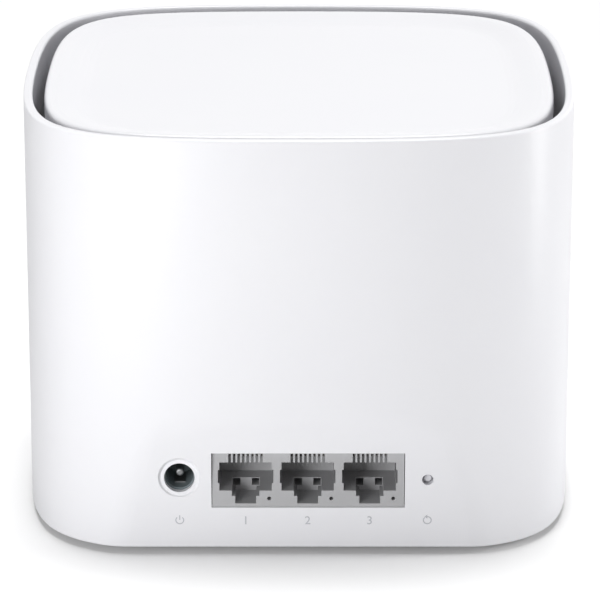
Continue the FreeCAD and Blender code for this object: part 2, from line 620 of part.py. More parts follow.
def port_cavity(port_x):
    """Plug opening with its side ears, latch notch and pocket, key slot, latch holes and test hole."""
    face = JACK_FACE_Y
    plug_top, run_z, front_y, cavity_back, tail_y = contact_levels()
    floor = BOARD_TOP + PLUG_FLOOR
    middle_z = floor + PLUG_HEIGHT / 2
    front = face - 1
    pocket_front = face + LATCH_POCKET_FRONT
    pocket_back = face + LATCH_POCKET_BACK
    pocket_floor = BOARD_TOP + LATCH_POCKET_FLOOR

    def room(width, y0, y1, z0, z1):
        return box(port_x - width / 2, port_x + width / 2, y0, y1, z0, z1)

    cavity = room(PLUG_WIDTH, front, cavity_back, floor, plug_top)
    ears = room(PLUG_WIDTH + 2 * PLUG_EAR_DEPTH, front, cavity_back,
                middle_z - PLUG_EAR_HEIGHT / 2, middle_z + PLUG_EAR_HEIGHT / 2)
    notch = room(NOTCH_WIDTH, front, pocket_back, BOARD_TOP + NOTCH_FLOOR, floor)
    pocket = room(NOTCH_WIDTH, pocket_front, pocket_back, pocket_floor, floor)
    key = room(KEY_WIDTH, front, pocket_back, BOARD_TOP + KEY_FLOOR, floor)
    cavity = cavity.fuse([ears, notch, pocket, key])
    for side in (-1, 1):
        hole_x = port_x + side * LATCH_HOLE_PLACE
        hole_z = pocket_floor + (floor - pocket_floor) / 2
        hole = box(hole_x - LATCH_HOLE / 2, hole_x + LATCH_HOLE / 2, pocket_back - CONTACT_THICK,
                   pocket_back + LATCH_HOLE_DEPTH, hole_z - LATCH_HOLE / 2, hole_z + LATCH_HOLE / 2)
        cavity = cavity.fuse(hole)
    test_hole = rod_y(port_x + TEST_HOLE_X, BOARD_TOP + TEST_HOLE_HEIGHT, TEST_HOLE_RADIUS,
                      front, face + TEST_HOLE_DEPTH)
    return cavity.fuse(test_hole)


def contact_slits(port_x):
    """Eight slits over the plug opening, open to the front, that the springs move in."""
    plug_top, run_z, front_y, cavity_back, tail_y = contact_levels()
    top = BOARD_TOP + SLIT_FRONT_HEIGHT
    half = SLIT_WIDTH / 2
    return [box(x - half, x + half, JACK_FACE_Y - 1, cavity_back, plug_top - CONTACT_THICK, top)
            for x in contact_middles(port_x)]


def make_jack_housing():
    """The moulded 1 by 3 network jack block."""
    x0, x1, y0, y1, z0, z1 = jack_box(0.0)
    housing = box(x0, x1, y0, y1, z0, z1)
    cutters = []
    for port_x in port_middles():
        cutters.append(port_cavity(port_x))
        cutters.extend(contact_slits(port_x))
        cutters.extend(make_contacts(port_x))
    return housing.cut(cutters)


# ================================================================ power jack
def dc_levels():
    """Front face, back face and axis height of the power jack."""
    axis_z = BOARD_TOP + DC_AXIS_HEIGHT
    front_y = panel_y(BOARD_TOP, PANEL_WALL) + FIT_GAP
    return front_y, front_y + DC_BODY_DEPTH, axis_z


def make_dc_body():
    """The black moulded power jack with its round bore."""
    front_y, back_y, axis_z = dc_levels()
    top = axis_z + DC_BODY_WIDTH / 2
    body = centred_box(DC_X, (front_y + back_y) / 2, DC_BODY_WIDTH, DC_BODY_DEPTH, BOARD_TOP, top)
    body = body.cut(rod_y(DC_X, axis_z, DC_BORE_RADIUS, front_y - 1, front_y + DC_BORE_DEPTH))
    body = body.cut(make_dc_pin())
    return body.cut(make_dc_spring())


def make_dc_pin():
    """The round centre pin, with a domed front and a board tail behind the body's bore."""
    front_y, back_y, axis_z = dc_levels()
    pin_front = front_y + DC_PIN_SETBACK
    pin_back = back_y - DC_PIN_BACK
    pin = rod_y(DC_X, axis_z, DC_PIN_RADIUS, pin_front, pin_back)
    front_edges = [e for e in pin.Edges if abs(e.BoundBox.YMax - pin_front) < CLOSE]
    pin = pin.makeFillet(DC_PIN_DOME, front_edges)
    half = DC_TAIL_WIDTH / 2
    tail = box(DC_X - half, DC_X + half, pin_back - DC_TAIL_THICK, pin_back, BOARD_TOP, axis_z)
    return pin.fuse(tail).removeSplitter()


def make_dc_spring():
    """The sleeve contact: a leaf under the bore's floor with a leg to the board."""
    front_y, back_y, axis_z = dc_levels()
    half = DC_SPRING_WIDTH / 2
    leaf_top = axis_z - DC_BORE_RADIUS + DC_SPRING_THICK
    leaf_bottom = leaf_top - DC_SPRING_THICK
    leaf_front = front_y + DC_SPRING_SETBACK
    leaf_back = front_y + DC_BORE_DEPTH - DC_SPRING_END
    points = [(leaf_front, leaf_bottom), (leaf_back - DC_SPRING_THICK, leaf_bottom),
              (leaf_back - DC_SPRING_THICK, BOARD_TOP), (leaf_back, BOARD_TOP), (leaf_back, leaf_top),
              (leaf_front, leaf_top)]
    return extrude_profile_x(points, DC_X - half, DC_X + half)


# ================================================================ reset button
def reset_levels():
    """Axis height, pin front, head back, stem front and switch front, from outside to inside."""
    axis_z = BOARD_TOP + RESET_AXIS_HEIGHT
    pin_front = panel_y(axis_z) + RESET_PIN_RECESS
    head_front = panel_y(axis_z, PANEL_WALL) + FIT_GAP
    head_back = head_front + RESET_HEAD_LENGTH
    switch_front = head_back + SWITCH_STEM_OUT
    return axis_z, pin_front, head_front, head_back, switch_front


def make_reset_pin():
    """The white pin that shows in the reset hole, with the collar that keeps it in."""
    axis_z, pin_front, head_front, head_back, switch_front = reset_levels()
    pin = rod_y(RESET_X, axis_z, RESET_PIN_RADIUS, pin_front, head_back)
    return pin.fuse(rod_y(RESET_X, axis_z, RESET_HEAD_RADIUS, head_front, head_back)).removeSplitter()


def make_switch_stem():
    """The switch's own plunger, behind the pin."""
    axis_z, pin_front, head_front, head_back, switch_front = reset_levels()
    stem_back = switch_front + SWITCH_STEM_IN
    stem = rod_y(RESET_X, axis_z, SWITCH_STEM_RADIUS, head_back, stem_back)
    flange = rod_y(RESET_X, axis_z, SWITCH_FLANGE_RADIUS, stem_back - SWITCH_FLANGE_DEPTH, stem_back)
    return stem.fuse(flange).removeSplitter()


def make_switch_dome():
    """The snap dome, flattened by the stem when it is pressed."""
    axis_z, pin_front, head_front, head_back, switch_front = reset_levels()
    front = Vector(RESET_X, switch_front + SWITCH_STEM_IN, axis_z)
    inwards = Vector(0, 1, 0)
    rise = RESET_TRAVEL + DOME_MARGIN
    dome = Part.makeCone(DOME_TOP_RADIUS, DOME_FOOT_RADIUS, rise, front, inwards)
    hollow = Part.makeCone(DOME_TOP_RADIUS, DOME_FOOT_RADIUS, rise, front + inwards * DOME_THICK, inwards)
    return dome.cut(hollow)


def make_switch_body():
    """The square tactile switch that stands on the board behind the reset hole."""
    axis_z, pin_front, head_front, head_back, switch_front = reset_levels()
    half = SWITCH_SIZE / 2
    body = box(RESET_X - half, RESET_X + half, switch_front, switch_front + SWITCH_DEPTH,
               axis_z - half, axis_z + half)
    chamber_front = switch_front + SWITCH_FACE_WALL
    chamber_back = switch_front + SWITCH_STEM_IN + RESET_TRAVEL + DOME_MARGIN
    body = body.cut(rod_y(RESET_X, axis_z, SWITCH_CHAMBER_RADIUS, chamber_front, chamber_back))
    stem_hole_radius = SWITCH_STEM_RADIUS + SLIDE_GAP / 2
    body = body.cut(rod_y(RESET_X, axis_z, stem_hole_radius, switch_front - 1, chamber_back))
    leg_y = switch_front + SWITCH_LEG_SETBACK + SWITCH_LEG_THICK / 2
    leg_x = half - SWITCH_LEG_INSET
    legs = [centred_box(RESET_X + side * leg_x, leg_y, SWITCH_LEG_WIDTH, SWITCH_LEG_THICK,
                        BOARD_TOP, axis_z - half) for side in (-1, 1)]
    return body.fuse(legs)


# ================================================================ cans, chips and heat sink
def make_can(size, middle):
    """A drawn metal shield, open underneath."""
    width, depth = size
    can = centred_box(middle[0], middle[1], width, depth, BOARD_TOP, BOARD_TOP + CAN_HEIGHT)
    upright = [e for e in can.Edges if e.BoundBox.ZLength > CAN_HEIGHT / 2]
    can = can.makeFillet(CAN_CORNER, upright)
    room = centred_box(middle[0], middle[1], width - 2 * CAN_WALL, depth - 2 * CAN_WALL,
                       BOARD_TOP - 1, BOARD_TOP + CAN_HEIGHT - CAN_WALL)
    return can.cut(room)


def make_chip(x, y, width, depth, height):
    """A chip package with its pin one corner cut off."""
    chip = centred_box(x, y, width, depth, BOARD_TOP, BOARD_TOP + height)
    upright = [e for e in chip.Edges if e.BoundBox.ZLength > height / 2]
    first_corner = [min(upright, key=lambda e: e.CenterOfMass.x + e.CenterOfMass.y)]
    return chip.makeChamfer(CHIP_CORNER, first_corner)


def sink_leg_places():
    """The heat sink's four legs, near its corners."""
    reach_x = SINK_SIZE[0] / 2 - SINK_LEG_INSET
    reach_y = SINK_SIZE[1] / 2 - SINK_LEG_INSET
    return [(SINK_MIDDLE[0] + sx * reach_x, SINK_MIDDLE[1] + sy * reach_y)
            for sx in (-1, 1) for sy in (-1, 1)]


def make_pad(size, middle):
    """A soft thermal pad between a shield and the heat sink."""
    bottom = BOARD_TOP + CAN_HEIGHT
    return centred_box(middle[0], middle[1], size[0] * PAD_SHARE, size[1] * PAD_SHARE,
                       bottom, bottom + PAD_THICK)


def make_heatsink():
    """The finned aluminium heat sink on four legs."""
    bottom = BOARD_TOP + CAN_HEIGHT + PAD_THICK
    plate_top = bottom + SINK_PLATE
    sink = centred_box(SINK_MIDDLE[0], SINK_MIDDLE[1], SINK_SIZE[0], SINK_SIZE[1], bottom, plate_top)
    pitch = (SINK_SIZE[1] - SINK_FIN_THICK) / (SINK_FIN_COUNT - 1)
    for index in range(SINK_FIN_COUNT):
        y = SINK_MIDDLE[1] - SINK_SIZE[1] / 2 + SINK_FIN_THICK / 2 + index * pitch
        fin = centred_box(SINK_MIDDLE[0], y, SINK_SIZE[0], SINK_FIN_THICK,
                          plate_top, plate_top + SINK_FIN_HEIGHT)
        sink = sink.fuse(fin)
    for x, y in sink_leg_places():
        sink = sink.fuse(post(x, y, SINK_LEG_RADIUS, BOARD_TOP, bottom + SINK_PLATE / 2))
    for x, y in sink_leg_places():
        sink = sink.cut(post(x, y, SINK_SCREW_RADIUS, BOARD_TOP - 1, BOARD_TOP + SINK_SCREW_BITE))
    return sink.removeSplitter()


def make_sink_screws():
    """Four small screws from under the board into the heat sink's legs."""
    head_bottom = BOARD_BOTTOM - SINK_SCREW_HEAD_HEIGHT
    tip = BOARD_TOP + SINK_SCREW_BITE - SINK_SCREW_END_GAP
    return [make_screw(x, y, SINK_SCREW_RADIUS, SINK_SCREW_HEAD_RADIUS, SINK_SCREW_HEAD_HEIGHT,
                       head_bottom, tip) for x, y in sink_leg_places()]


# ================================================================ inner frame
def make_inner_frame():
    """The moulded tower on four legs that carries the antennas and the top cover."""
    outer = rounded_prism(FRAME_HALF_WIDTH, FRAME_CORNER_ROUND, FRAME_BOTTOM, FRAME_PLATE_BOTTOM)
    inner = rounded_prism(FRAME_HALF_WIDTH - FRAME_WALL, FRAME_CORNER_ROUND - FRAME_WALL,
                          FRAME_BOTTOM - 1, FRAME_PLATE_BOTTOM + 1)
    frame = outer.cut(inner)
    window_z = FRAME_BOTTOM + WINDOW_BOTTOM
    for width, depth in ((WINDOW_WIDTH, 3 * HALF_WIDTH), (3 * HALF_WIDTH, WINDOW_WIDTH)):
        frame = frame.cut(centred_box(0, 0, width, depth, window_z, window_z + WINDOW_HEIGHT))
    frame = frame.fuse(squircle_prism(TOP_PLATE_HALF_WIDTH, FRAME_PLATE_BOTTOM, FRAME_PLATE_TOP))
    for x, y in four_corners(FRAME_LEG_PLACE):
        frame = frame.fuse(post(x, y, FRAME_LEG_RADIUS, BOARD_TOP, FRAME_PLATE_BOTTOM))
    socket_bottom = FRAME_PLATE_TOP - PEG_LENGTH - 1
    for x, y in four_corners(PEG_PLACE):
        frame = frame.fuse(post(x, y, PEG_RADIUS + FRAME_WALL, socket_bottom, FRAME_PLATE_TOP))
    for pegs in antenna_pegs():
        frame = frame.fuse(pegs)
    for x, y in four_corners(PEG_PLACE):
        frame = frame.cut(post(x, y, PEG_RADIUS + PART_GAP, FRAME_PLATE_TOP - PEG_LENGTH - PART_GAP,
                               FRAME_PLATE_TOP + 1))
    for x, y in four_corners(FRAME_LEG_PLACE):
        frame = frame.cut(post(x, y, SCREW_RADIUS, BOARD_TOP - 1, BOARD_TOP + SCREW_BITE + 1))
    first = -(TOP_VENT_ROW - 1) / 2
    for column in range(TOP_VENT_ROW):
        for row in range(TOP_VENT_ROW):
            x = (first + column) * TOP_VENT_PITCH
            y = (first + row) * TOP_VENT_PITCH
            frame = frame.cut(post(x, y, TOP_VENT_RADIUS, FRAME_PLATE_BOTTOM - 1, FRAME_PLATE_TOP + 1))
    return frame.removeSplitter()


def rounded_prism(half, radius, z0, z1):
    """A square prism with rounded upright corners."""
    prism = centred_box(0, 0, 2 * half, 2 * half, z0, z1)
    upright = [e for e in prism.Edges if e.BoundBox.ZLength > (z1 - z0) / 2]
    return prism.makeFillet(radius, upright)


# ================================================================ antennas and their leads
def turned(shape, quarter):
    """The shape turned about the Z axis by quarter turns."""
    copy = shape.copy()
    copy.rotate(Vector(0, 0, 0), Vector(0, 0, 1), 90 * quarter)
    return copy


def antenna_levels():
    """Bottom and top of every antenna board."""
    top = FRAME_PLATE_BOTTOM - ANTENNA_BELOW_TOP_PLATE
    return top - ANTENNA_HEIGHT, top


def antenna_pegs():
    """Two heat-staked pegs for each antenna, on each side of the frame."""
    bottom, top = antenna_levels()
    z = (bottom + top) / 2
    outside = -FRAME_HALF_WIDTH
    pegs = []
    for quarter in range(4):
        for side in (-1, 1):
            x = side * (ANTENNA_LENGTH / 2 - ANTENNA_PEG_INSET)
            peg = rod_y(x, z, ANTENNA_PEG_RADIUS, outside - ANTENNA_PEG_OUT, outside + FRAME_WALL / 2)
            pegs.append(turned(peg, quarter))
    return pegs


def make_antenna(quarter):
    """One flat antenna board, slotted, on the outside of the frame."""
    bottom, top = antenna_levels()
    outside = -FRAME_HALF_WIDTH
    half = ANTENNA_LENGTH / 2
    board = box(-half, half, outside - ANTENNA_THICK, outside, bottom, top)
    for side in (-1, 1):
        x = side * (half - ANTENNA_PEG_INSET)
        z = (bottom + top) / 2
        board = board.cut(rod_y(x, z, ANTENNA_PEG_RADIUS + PART_GAP, outside - 2, outside + 1))
        slot_x = side * half / 2
        board = board.cut(box(slot_x - ANTENNA_SLOT_WIDTH / 2, slot_x + ANTENNA_SLOT_WIDTH / 2,
                              outside - 2, outside + 1, bottom + ANTENNA_SLOT_FLOOR, top + 1))
    return turned(board, quarter)


def lead_points(quarter):
    """A lead's route on the port side, before it is turned to its own side of the frame."""
    bottom, top = antenna_levels()
    x = LEAD_SHIFT[quarter]
    y = -FRAME_HALF_WIDTH - ANTENNA_THICK - LEAD_RADIUS - PART_GAP
    z = BOARD_TOP + LEAD_LIFT
    start = Vector(x, y, bottom + LEAD_START)
    route = LEAD_ROUTE_OTHERS if quarter else LEAD_ROUTE_PORT_SIDE
    return [start] + [Vector(x + dx, y + dy, z + dz) for dx, dy, dz in route]


def lead_path(points):
    """Straight runs joined by tangent arcs, each as large as its two runs allow."""
    edges = []
    radii = []
    here = points[0]
    for before, corner, after in zip(points, points[1:], points[2:]):
        to_corner = corner - before
        from_corner = after - corner
        reach = LEAD_BEND_SHARE * min(to_corner.Length, from_corner.Length)
        half_turn = to_corner.getAngle(from_corner) / 2
        radii.append(reach / math.tan(half_turn))
        unit_in = Vector(to_corner).normalize()
        unit_out = Vector(from_corner).normalize()
        arc_start = corner - unit_in * reach
        arc_end = corner + unit_out * reach
        inward = (unit_out - unit_in).normalize()
        centre_distance = radii[-1] / math.cos(half_turn)
        arc_middle = corner + inward * (centre_distance - radii[-1])
        edges.append(Part.LineSegment(here, arc_start).toShape())
        edges.append(Part.Arc(arc_start, arc_middle, arc_end).toShape())
        here = arc_end
    edges.append(Part.LineSegment(here, points[-1]).toShape())
    return Part.Wire(edges), radii


def make_lead(quarter):
    """One coaxial lead from its antenna to its board plug, swept whole."""
    points = lead_points(quarter)
    path, radii = lead_path(points)
    direction = points[1] - points[0]
    ring = Part.Wire(Part.makeCircle(LEAD_RADIUS, points[0], direction))
    lead = path.makePipeShell([ring], True, True)
    section = math.pi * LEAD_RADIUS ** 2
    print(f"lead {quarter}: length {path.Length:.1f}, radii {[round(r, 1) for r in radii]}, "
          f"volume {lead.Volume:.2f} of {section * path.Length:.2f}")
    return turned(lead, quarter)


def make_feed_pad(quarter):
    """The solder joint where a lead meets its antenna board."""
    start = lead_points(quarter)[0]
    width, height = FEED_PAD
    front = start.y - LEAD_RADIUS
    pad = box(start.x - width / 2, start.x + width / 2, front, -FRAME_HALF_WIDTH - ANTENNA_THICK,
              start.z, start.z + height)
    return turned(pad, quarter)


def make_lead_plug(quarter):
    """The round board plug that a lead ends in, with its crimped tail."""
    points = lead_points(quarter)
    end = points[-1]
    direction = (end - points[-2]).normalize()
    middle = end + direction * PLUG_TAIL
    plug = post(middle.x, middle.y, PLUG_SIZE / 2, BOARD_TOP, BOARD_TOP + PLUG_TALL)
    tail = Part.makeCylinder(LEAD_RADIUS + PLUG_TAIL_WALL, PLUG_TAIL, end, direction)
    return turned(plug.fuse(tail), quarter)


# ================================================================ status light
def make_status_lens():
    """The small lens in the front wall, opposite the ports."""
    lens = light_window(LIGHT_SIDE_GAP)
    front = HALF_WIDTH - PART_GAP
    return lens.common(box(-HALF_WIDTH, HALF_WIDTH, front - LIGHT_LENS_DEPTH, front, 0, SHELL_TOP))


def light_pipe_ends():
    """Y of the LED's front face and of the lens's rear face."""
    led_front = BOARD_HALF_WIDTH - LED_INSET
    return led_front, HALF_WIDTH - PART_GAP - LIGHT_LENS_DEPTH


def make_light_pipe():
    """The clear bar that carries the light from the board to the lens."""
    led_front, lens_rear = light_pipe_ends()
    z = BOARD_TOP + LIGHT_ABOVE_BOARD + LIGHT_SIDE_GAP
    height = LIGHT_WINDOW_HEIGHT - 2 * LIGHT_SIDE_GAP
    half = LIGHT_PIPE_WIDTH / 2
    bar = box(-half, half, led_front + PART_GAP, lens_rear, z, z + height)
    rest = box(-half, half, led_front + PART_GAP, BOARD_HALF_WIDTH - LIGHT_PIPE_FOOT, BOARD_TOP, z)
    return bar.fuse(rest).removeSplitter()


def make_status_led():
    """The side firing LED at the board's front edge."""
    led_front, lens_rear = light_pipe_ends()
    width, depth, height = LED_SIZE
    return box(-width / 2, width / 2, led_front - depth, led_front, BOARD_TOP, BOARD_TOP + height)


# ================================================================ small parts on the board
def make_transformer(port_x):
    """The network transformer behind one port, with a bevelled lid edge."""
    width, depth, height = TRANSFORMER_SIZE
    body = centred_box(port_x, TRANSFORMER_Y, width, depth, BOARD_TOP, BOARD_TOP + height)
    return body.makeChamfer(TRANSFORMER_BEVEL, edges_at_height(body, BOARD_TOP + height))


def make_inductors():
    """Two moulded power inductors."""
    width, depth, height = INDUCTOR_SIZE
    blocks = []
    for x, y in INDUCTOR_PLACES:
        block = centred_box(x, y, width, depth, BOARD_TOP, BOARD_TOP + height)
        upright = [e for e in block.Edges if e.BoundBox.ZLength > height / 2]
        blocks.append(block.makeChamfer(INDUCTOR_BEVEL, upright))
    return blocks


def make_capacitors():
    """Two can capacitors on their square bases."""
    cans = []
    side = 2 * (CAPACITOR_RADIUS + CAPACITOR_BASE_MARGIN)
    for x, y in CAPACITOR_PLACES:
        base = centred_box(x, y, side, side, BOARD_TOP, BOARD_TOP + CAPACITOR_BASE)
        can = post(x, y, CAPACITOR_RADIUS, BOARD_TOP + CAPACITOR_BASE / 2, BOARD_TOP + CAPACITOR_TALL)
        cans.append(can.fuse(base).removeSplitter())
    return cans


def build_enclosure():
    """Shell, cover, base, feet, label and the screws that join them."""
    export("outer_shell", make_outer_shell())
    export("top_cover", make_top_cover())
    export("base_cover", make_base_cover())
    for number, (x, y) in enumerate(foot_places(), 1):
        export(f"rubber_foot_{number}", make_foot(x, y))
    export("rating_label_blank", make_label())
    export("shell_screws", Part.makeCompound(make_shell_screws()))
    export("frame_screws", Part.makeCompound(make_frame_screws()))
    export("inner_frame", make_inner_frame())


def build_board():
    """The board and everything soldered to it that stays under the heat sink or behind the ports."""
    export("main_board", make_main_board())
    export("main_shield_can", make_can(MAIN_CAN_SIZE, MAIN_CAN_MIDDLE))
    export("radio_shield_can", make_can(RADIO_CAN_SIZE, RADIO_CAN_MIDDLE))
    for name, (x, y, width, depth, height) in CHIPS.items():
        export(name, make_chip(x, y, width, depth, height))
    export("main_thermal_pad", make_pad(MAIN_CAN_SIZE, MAIN_CAN_MIDDLE))
    export("radio_thermal_pad", make_pad(RADIO_CAN_SIZE, RADIO_CAN_MIDDLE))
    export("heatsink", make_heatsink())
    export("heatsink_screws", Part.makeCompound(make_sink_screws()))
    for number, port_x in enumerate(port_middles(), 1):
        export(f"lan_transformer_{number}", make_transformer(port_x))
    export("power_inductors", Part.makeCompound(make_inductors()))
    export("power_capacitors", Part.makeCompound(make_capacitors()))


def build_ports():
    """Network jack, power jack and reset button."""
    export("network_jack_housing", make_jack_housing())
    for number, port_x in enumerate(port_middles(), 1):
        export(f"network_contacts_{number}", Part.makeCompound(make_contacts(port_x)))
    export("power_jack_body", make_dc_body())
    export("power_jack_pin", make_dc_pin())
    export("power_jack_spring", make_dc_spring())
    export("reset_pin", make_reset_pin())
    export("reset_switch_stem", make_switch_stem())
    export("reset_switch_dome", make_switch_dome())
    export("reset_switch_body", make_switch_body())


def build_antennas():
    """Four antennas with their feeds, leads and board plugs."""
    for quarter, side in enumerate(("port_side", "right", "front", "left")):
        export(f"antenna_{side}", make_antenna(quarter))
        export(f"coax_lead_{side}", make_lead(quarter))
    export("antenna_feed_joints", Part.makeCompound([make_feed_pad(q) for q in range(4)]))
    export("coax_plugs", Part.makeCompound([make_lead_plug(q) for q in range(4)]))


def build_light():
    """Status lens, light pipe and LED."""
    export("status_lens", make_status_lens())
    export("light_pipe", make_light_pipe())
    export("status_led", make_status_led())


build_enclosure()
build_board()
build_ports()
build_antennas()
build_light()
print(len(printed), "sub-parts written")
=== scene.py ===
"""Mesh wifi node: the looks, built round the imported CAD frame.

Metres, +Z up. The port side faces -Y and the node stands on its four feet at z = 0.
"""
import logging
import math
from dataclasses import dataclass
from enum import Enum

import bmesh
import bpy
from mathutils import Matrix, Vector
from mathutils.bvhtree import BVHTree


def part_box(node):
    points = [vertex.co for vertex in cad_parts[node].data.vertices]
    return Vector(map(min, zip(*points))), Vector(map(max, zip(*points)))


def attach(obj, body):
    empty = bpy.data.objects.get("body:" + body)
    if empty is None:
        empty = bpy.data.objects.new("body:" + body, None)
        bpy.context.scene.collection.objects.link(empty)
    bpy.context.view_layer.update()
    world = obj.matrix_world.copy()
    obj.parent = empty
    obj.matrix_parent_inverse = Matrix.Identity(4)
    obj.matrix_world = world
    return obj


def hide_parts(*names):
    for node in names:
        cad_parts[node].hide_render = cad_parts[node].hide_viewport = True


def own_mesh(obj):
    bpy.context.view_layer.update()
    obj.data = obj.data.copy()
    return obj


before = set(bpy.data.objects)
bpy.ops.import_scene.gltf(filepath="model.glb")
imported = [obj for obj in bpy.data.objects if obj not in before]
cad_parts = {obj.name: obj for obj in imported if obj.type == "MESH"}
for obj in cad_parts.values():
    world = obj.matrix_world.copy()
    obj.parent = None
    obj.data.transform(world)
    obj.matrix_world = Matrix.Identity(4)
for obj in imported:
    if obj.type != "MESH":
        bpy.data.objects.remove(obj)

log = logging.getLogger("mesh_wifi_node")
MM = 0.001
HOUSING = "housing"
ON_AXIS = 1e-9            # a radius below this is a point on the axis
MERGE_DISTANCE = 1e-7     # metres between points that are one
TOUCHING = 1e-5           # metres that count as no gap
DIGIT_SHARE = 0.7         # a digit's height as a share of its font size
PORT_NUMBERS = (1, 2, 3)
FOOT_NUMBERS = (1, 2, 3, 4)
SIDES = ("port_side", "right", "front", "left")


# ================================================================ helpers
def linear(colour: str) -> tuple[float, float, float, float]:
    """Turn an sRGB hex colour into linear values.

    Args:
        colour: six hex digits with a leading hash.

    Returns:
        Red, green, blue and an alpha of one.
    """
    parts = [int(colour[i:i + 2], 16) / 255 for i in (1, 3, 5)]
    values = [p / 12.92 if p <= 0.04045 else ((p + 0.055) / 1.055) ** 2.4 for p in parts]
    return values[0], values[1], values[2], 1.0


def add_node(tree: bpy.types.NodeTree, kind: str, inputs: dict | None = None, **settings) -> bpy.types.Node:
    """Add one node with its settings, values and links.

    Args:
        tree: the node tree that gets the node.
        kind: the node's type name.
        inputs: socket name or index to a value, or to an output socket to link from.
        settings: attributes of the node itself.

    Returns:
        The new node.
    """
    node = tree.nodes.new(kind)
    for name, value in settings.items():
        setattr(node, name, value)
    for name, value in (inputs or {}).items():
        if isinstance(value, bpy.types.NodeSocket):
            tree.links.new(value, node.inputs[name])
        else:
            node.inputs[name].default_value = value
    return node


# ================================================================ finishes
class Grain(Enum):
    """How the surface was made, which sets its pattern."""

    SPARK_ERODED = "spark eroded mould texture"
    BRUSHED = "long drawn scratches"
    CAST = "soft pebbled skin"
    WOVEN = "glass cloth under resin"
    POLISHED = "no pattern but faint waviness"


@dataclass(frozen=True)
class Finish:
    """A procedural finish: two close colours, a roughness spread and a bump, all in Object coordinates."""

    name: str
    colour: str
    second_colour: str
    roughness: float
    roughness_spread: float = 0.05
    metallic: float = 0.0
    ior: float = 1.5
    grain: Grain = Grain.SPARK_ERODED
    grain_mm: float = 0.3
    bump_mm: float = 0.004
    patch_mm: float = 30.0
    coat: float = 0.0
    transmission: float = 0.0
    sheen: float = 0.0
    weave_bands: float = 4.0
    weave_distortion: float = 0.6
    drawn_stretch: float = 0.04
    grain_detail: float = 3.0
    polished_detail: float = 1.0
    patch_detail: float = 2.0
    bump_strength: float = 0.6

    def pattern(self, tree: bpy.types.NodeTree) -> bpy.types.NodeSocket:
        """Add the grain's height pattern and return its output socket."""
        place = add_node(tree, "ShaderNodeTexCoord").outputs["Object"]
        per_metre = 1.0 / (self.grain_mm * MM)
        if self.grain is Grain.CAST:
            return add_node(tree, "ShaderNodeTexVoronoi", {"Vector": place, "Scale": per_metre},
                            feature="SMOOTH_F1").outputs["Distance"]
        if self.grain is Grain.WOVEN:
            return add_node(tree, "ShaderNodeTexWave",
                            {"Vector": place, "Scale": per_metre / self.weave_bands,
                             "Distortion": self.weave_distortion}, bands_direction="DIAGONAL").outputs["Fac"]
        if self.grain is Grain.BRUSHED:
            drawn = add_node(tree, "ShaderNodeMapping",
                             {"Vector": place, "Scale": (self.drawn_stretch, 1.0, 1.0)})
            place = drawn.outputs["Vector"]
        detail = self.polished_detail if self.grain is Grain.POLISHED else self.grain_detail
        return add_node(tree, "ShaderNodeTexNoise",
                        {"Vector": place, "Scale": per_metre, "Detail": detail}).outputs["Fac"]

    def build(self) -> bpy.types.Material:
        """Make the material, or return it if it is already there."""
        made = bpy.data.materials.get(self.name)
        if made:
            return made
        made = bpy.data.materials.new(self.name)
        made.use_nodes = True
        tree = made.node_tree
        shader = tree.nodes["Principled BSDF"]
        place = add_node(tree, "ShaderNodeTexCoord").outputs["Object"]
        per_metre = 1.0 / (self.patch_mm * MM)
        patches = add_node(tree, "ShaderNodeTexNoise",
                           {"Vector": place, "Scale": per_metre, "Detail": self.patch_detail})
        mix = add_node(tree, "ShaderNodeMix", {"Factor": patches.outputs["Fac"]}, data_type="RGBA")
        set_mix_colours(mix, linear(self.colour), linear(self.second_colour))
        height = self.pattern(tree)
        rough = add_node(tree, "ShaderNodeMapRange",
                         {"Value": height, "To Min": self.roughness - self.roughness_spread,
                          "To Max": self.roughness + self.roughness_spread})
        bump = add_node(tree, "ShaderNodeBump",
                        {"Height": height, "Strength": self.bump_strength, "Distance": self.bump_mm * MM})
        tree.links.new(mix.outputs[2], shader.inputs["Base Color"])
        tree.links.new(rough.outputs["Result"], shader.inputs["Roughness"])
        tree.links.new(bump.outputs["Normal"], shader.inputs["Normal"])
        shader.inputs["Metallic"].default_value = self.metallic
        shader.inputs["IOR"].default_value = self.ior
        shader.inputs["Coat Weight"].default_value = self.coat
        shader.inputs["Transmission Weight"].default_value = self.transmission
        shader.inputs["Sheen Weight"].default_value = self.sheen
        return made


def set_mix_colours(mix: bpy.types.Node, first: tuple, second: tuple) -> None:
    """Set the two colour inputs of a Mix node, which share their names with the number inputs."""
    colours = [s for s in mix.inputs if s.type == "RGBA"]
    colours[0].default_value = first
    colours[1].default_value = second


# ABS, moulded in a fine spark-eroded tool: clean white with a faint blue cast and a soft satin glow.
WHITE_ABS = Finish("white_abs_moulded_satin", "#F3F3F6", "#F1F1F5", 0.36, 0.05, grain_mm=0.5, bump_mm=0.003)
# The cover's tool is finer still, so it is a shade brighter and smoother.
COVER_ABS = Finish("white_abs_moulded_fine_satin", "#F4F4F7", "#F2F2F6", 0.30, 0.04,
                   grain_mm=0.45, bump_mm=0.002)
# The base comes from a coarser tool: a greyer, matt white.
BASE_ABS = Finish("white_abs_moulded_coarse", "#ECECEF", "#E8E8EC", 0.50, 0.08, grain_mm=0.6, bump_mm=0.015)
# POM, turned: a pale grey dot with a dull sheen.
PIN_POM = Finish("white_pom_turned_pin", "#D8D8DC", "#D2D2D6", 0.40, 0.05, grain_mm=0.2, bump_mm=0.002)
# Silicone rubber, moulded: mid grey with a dry, pebbled skin.
FOOT_RUBBER = Finish("grey_silicone_rubber_moulded", "#8C8C8E", "#7E7E80", 0.75, 0.10, ior=1.43,
                     grain=Grain.CAST, grain_mm=0.5, bump_mm=0.03, sheen=0.1)
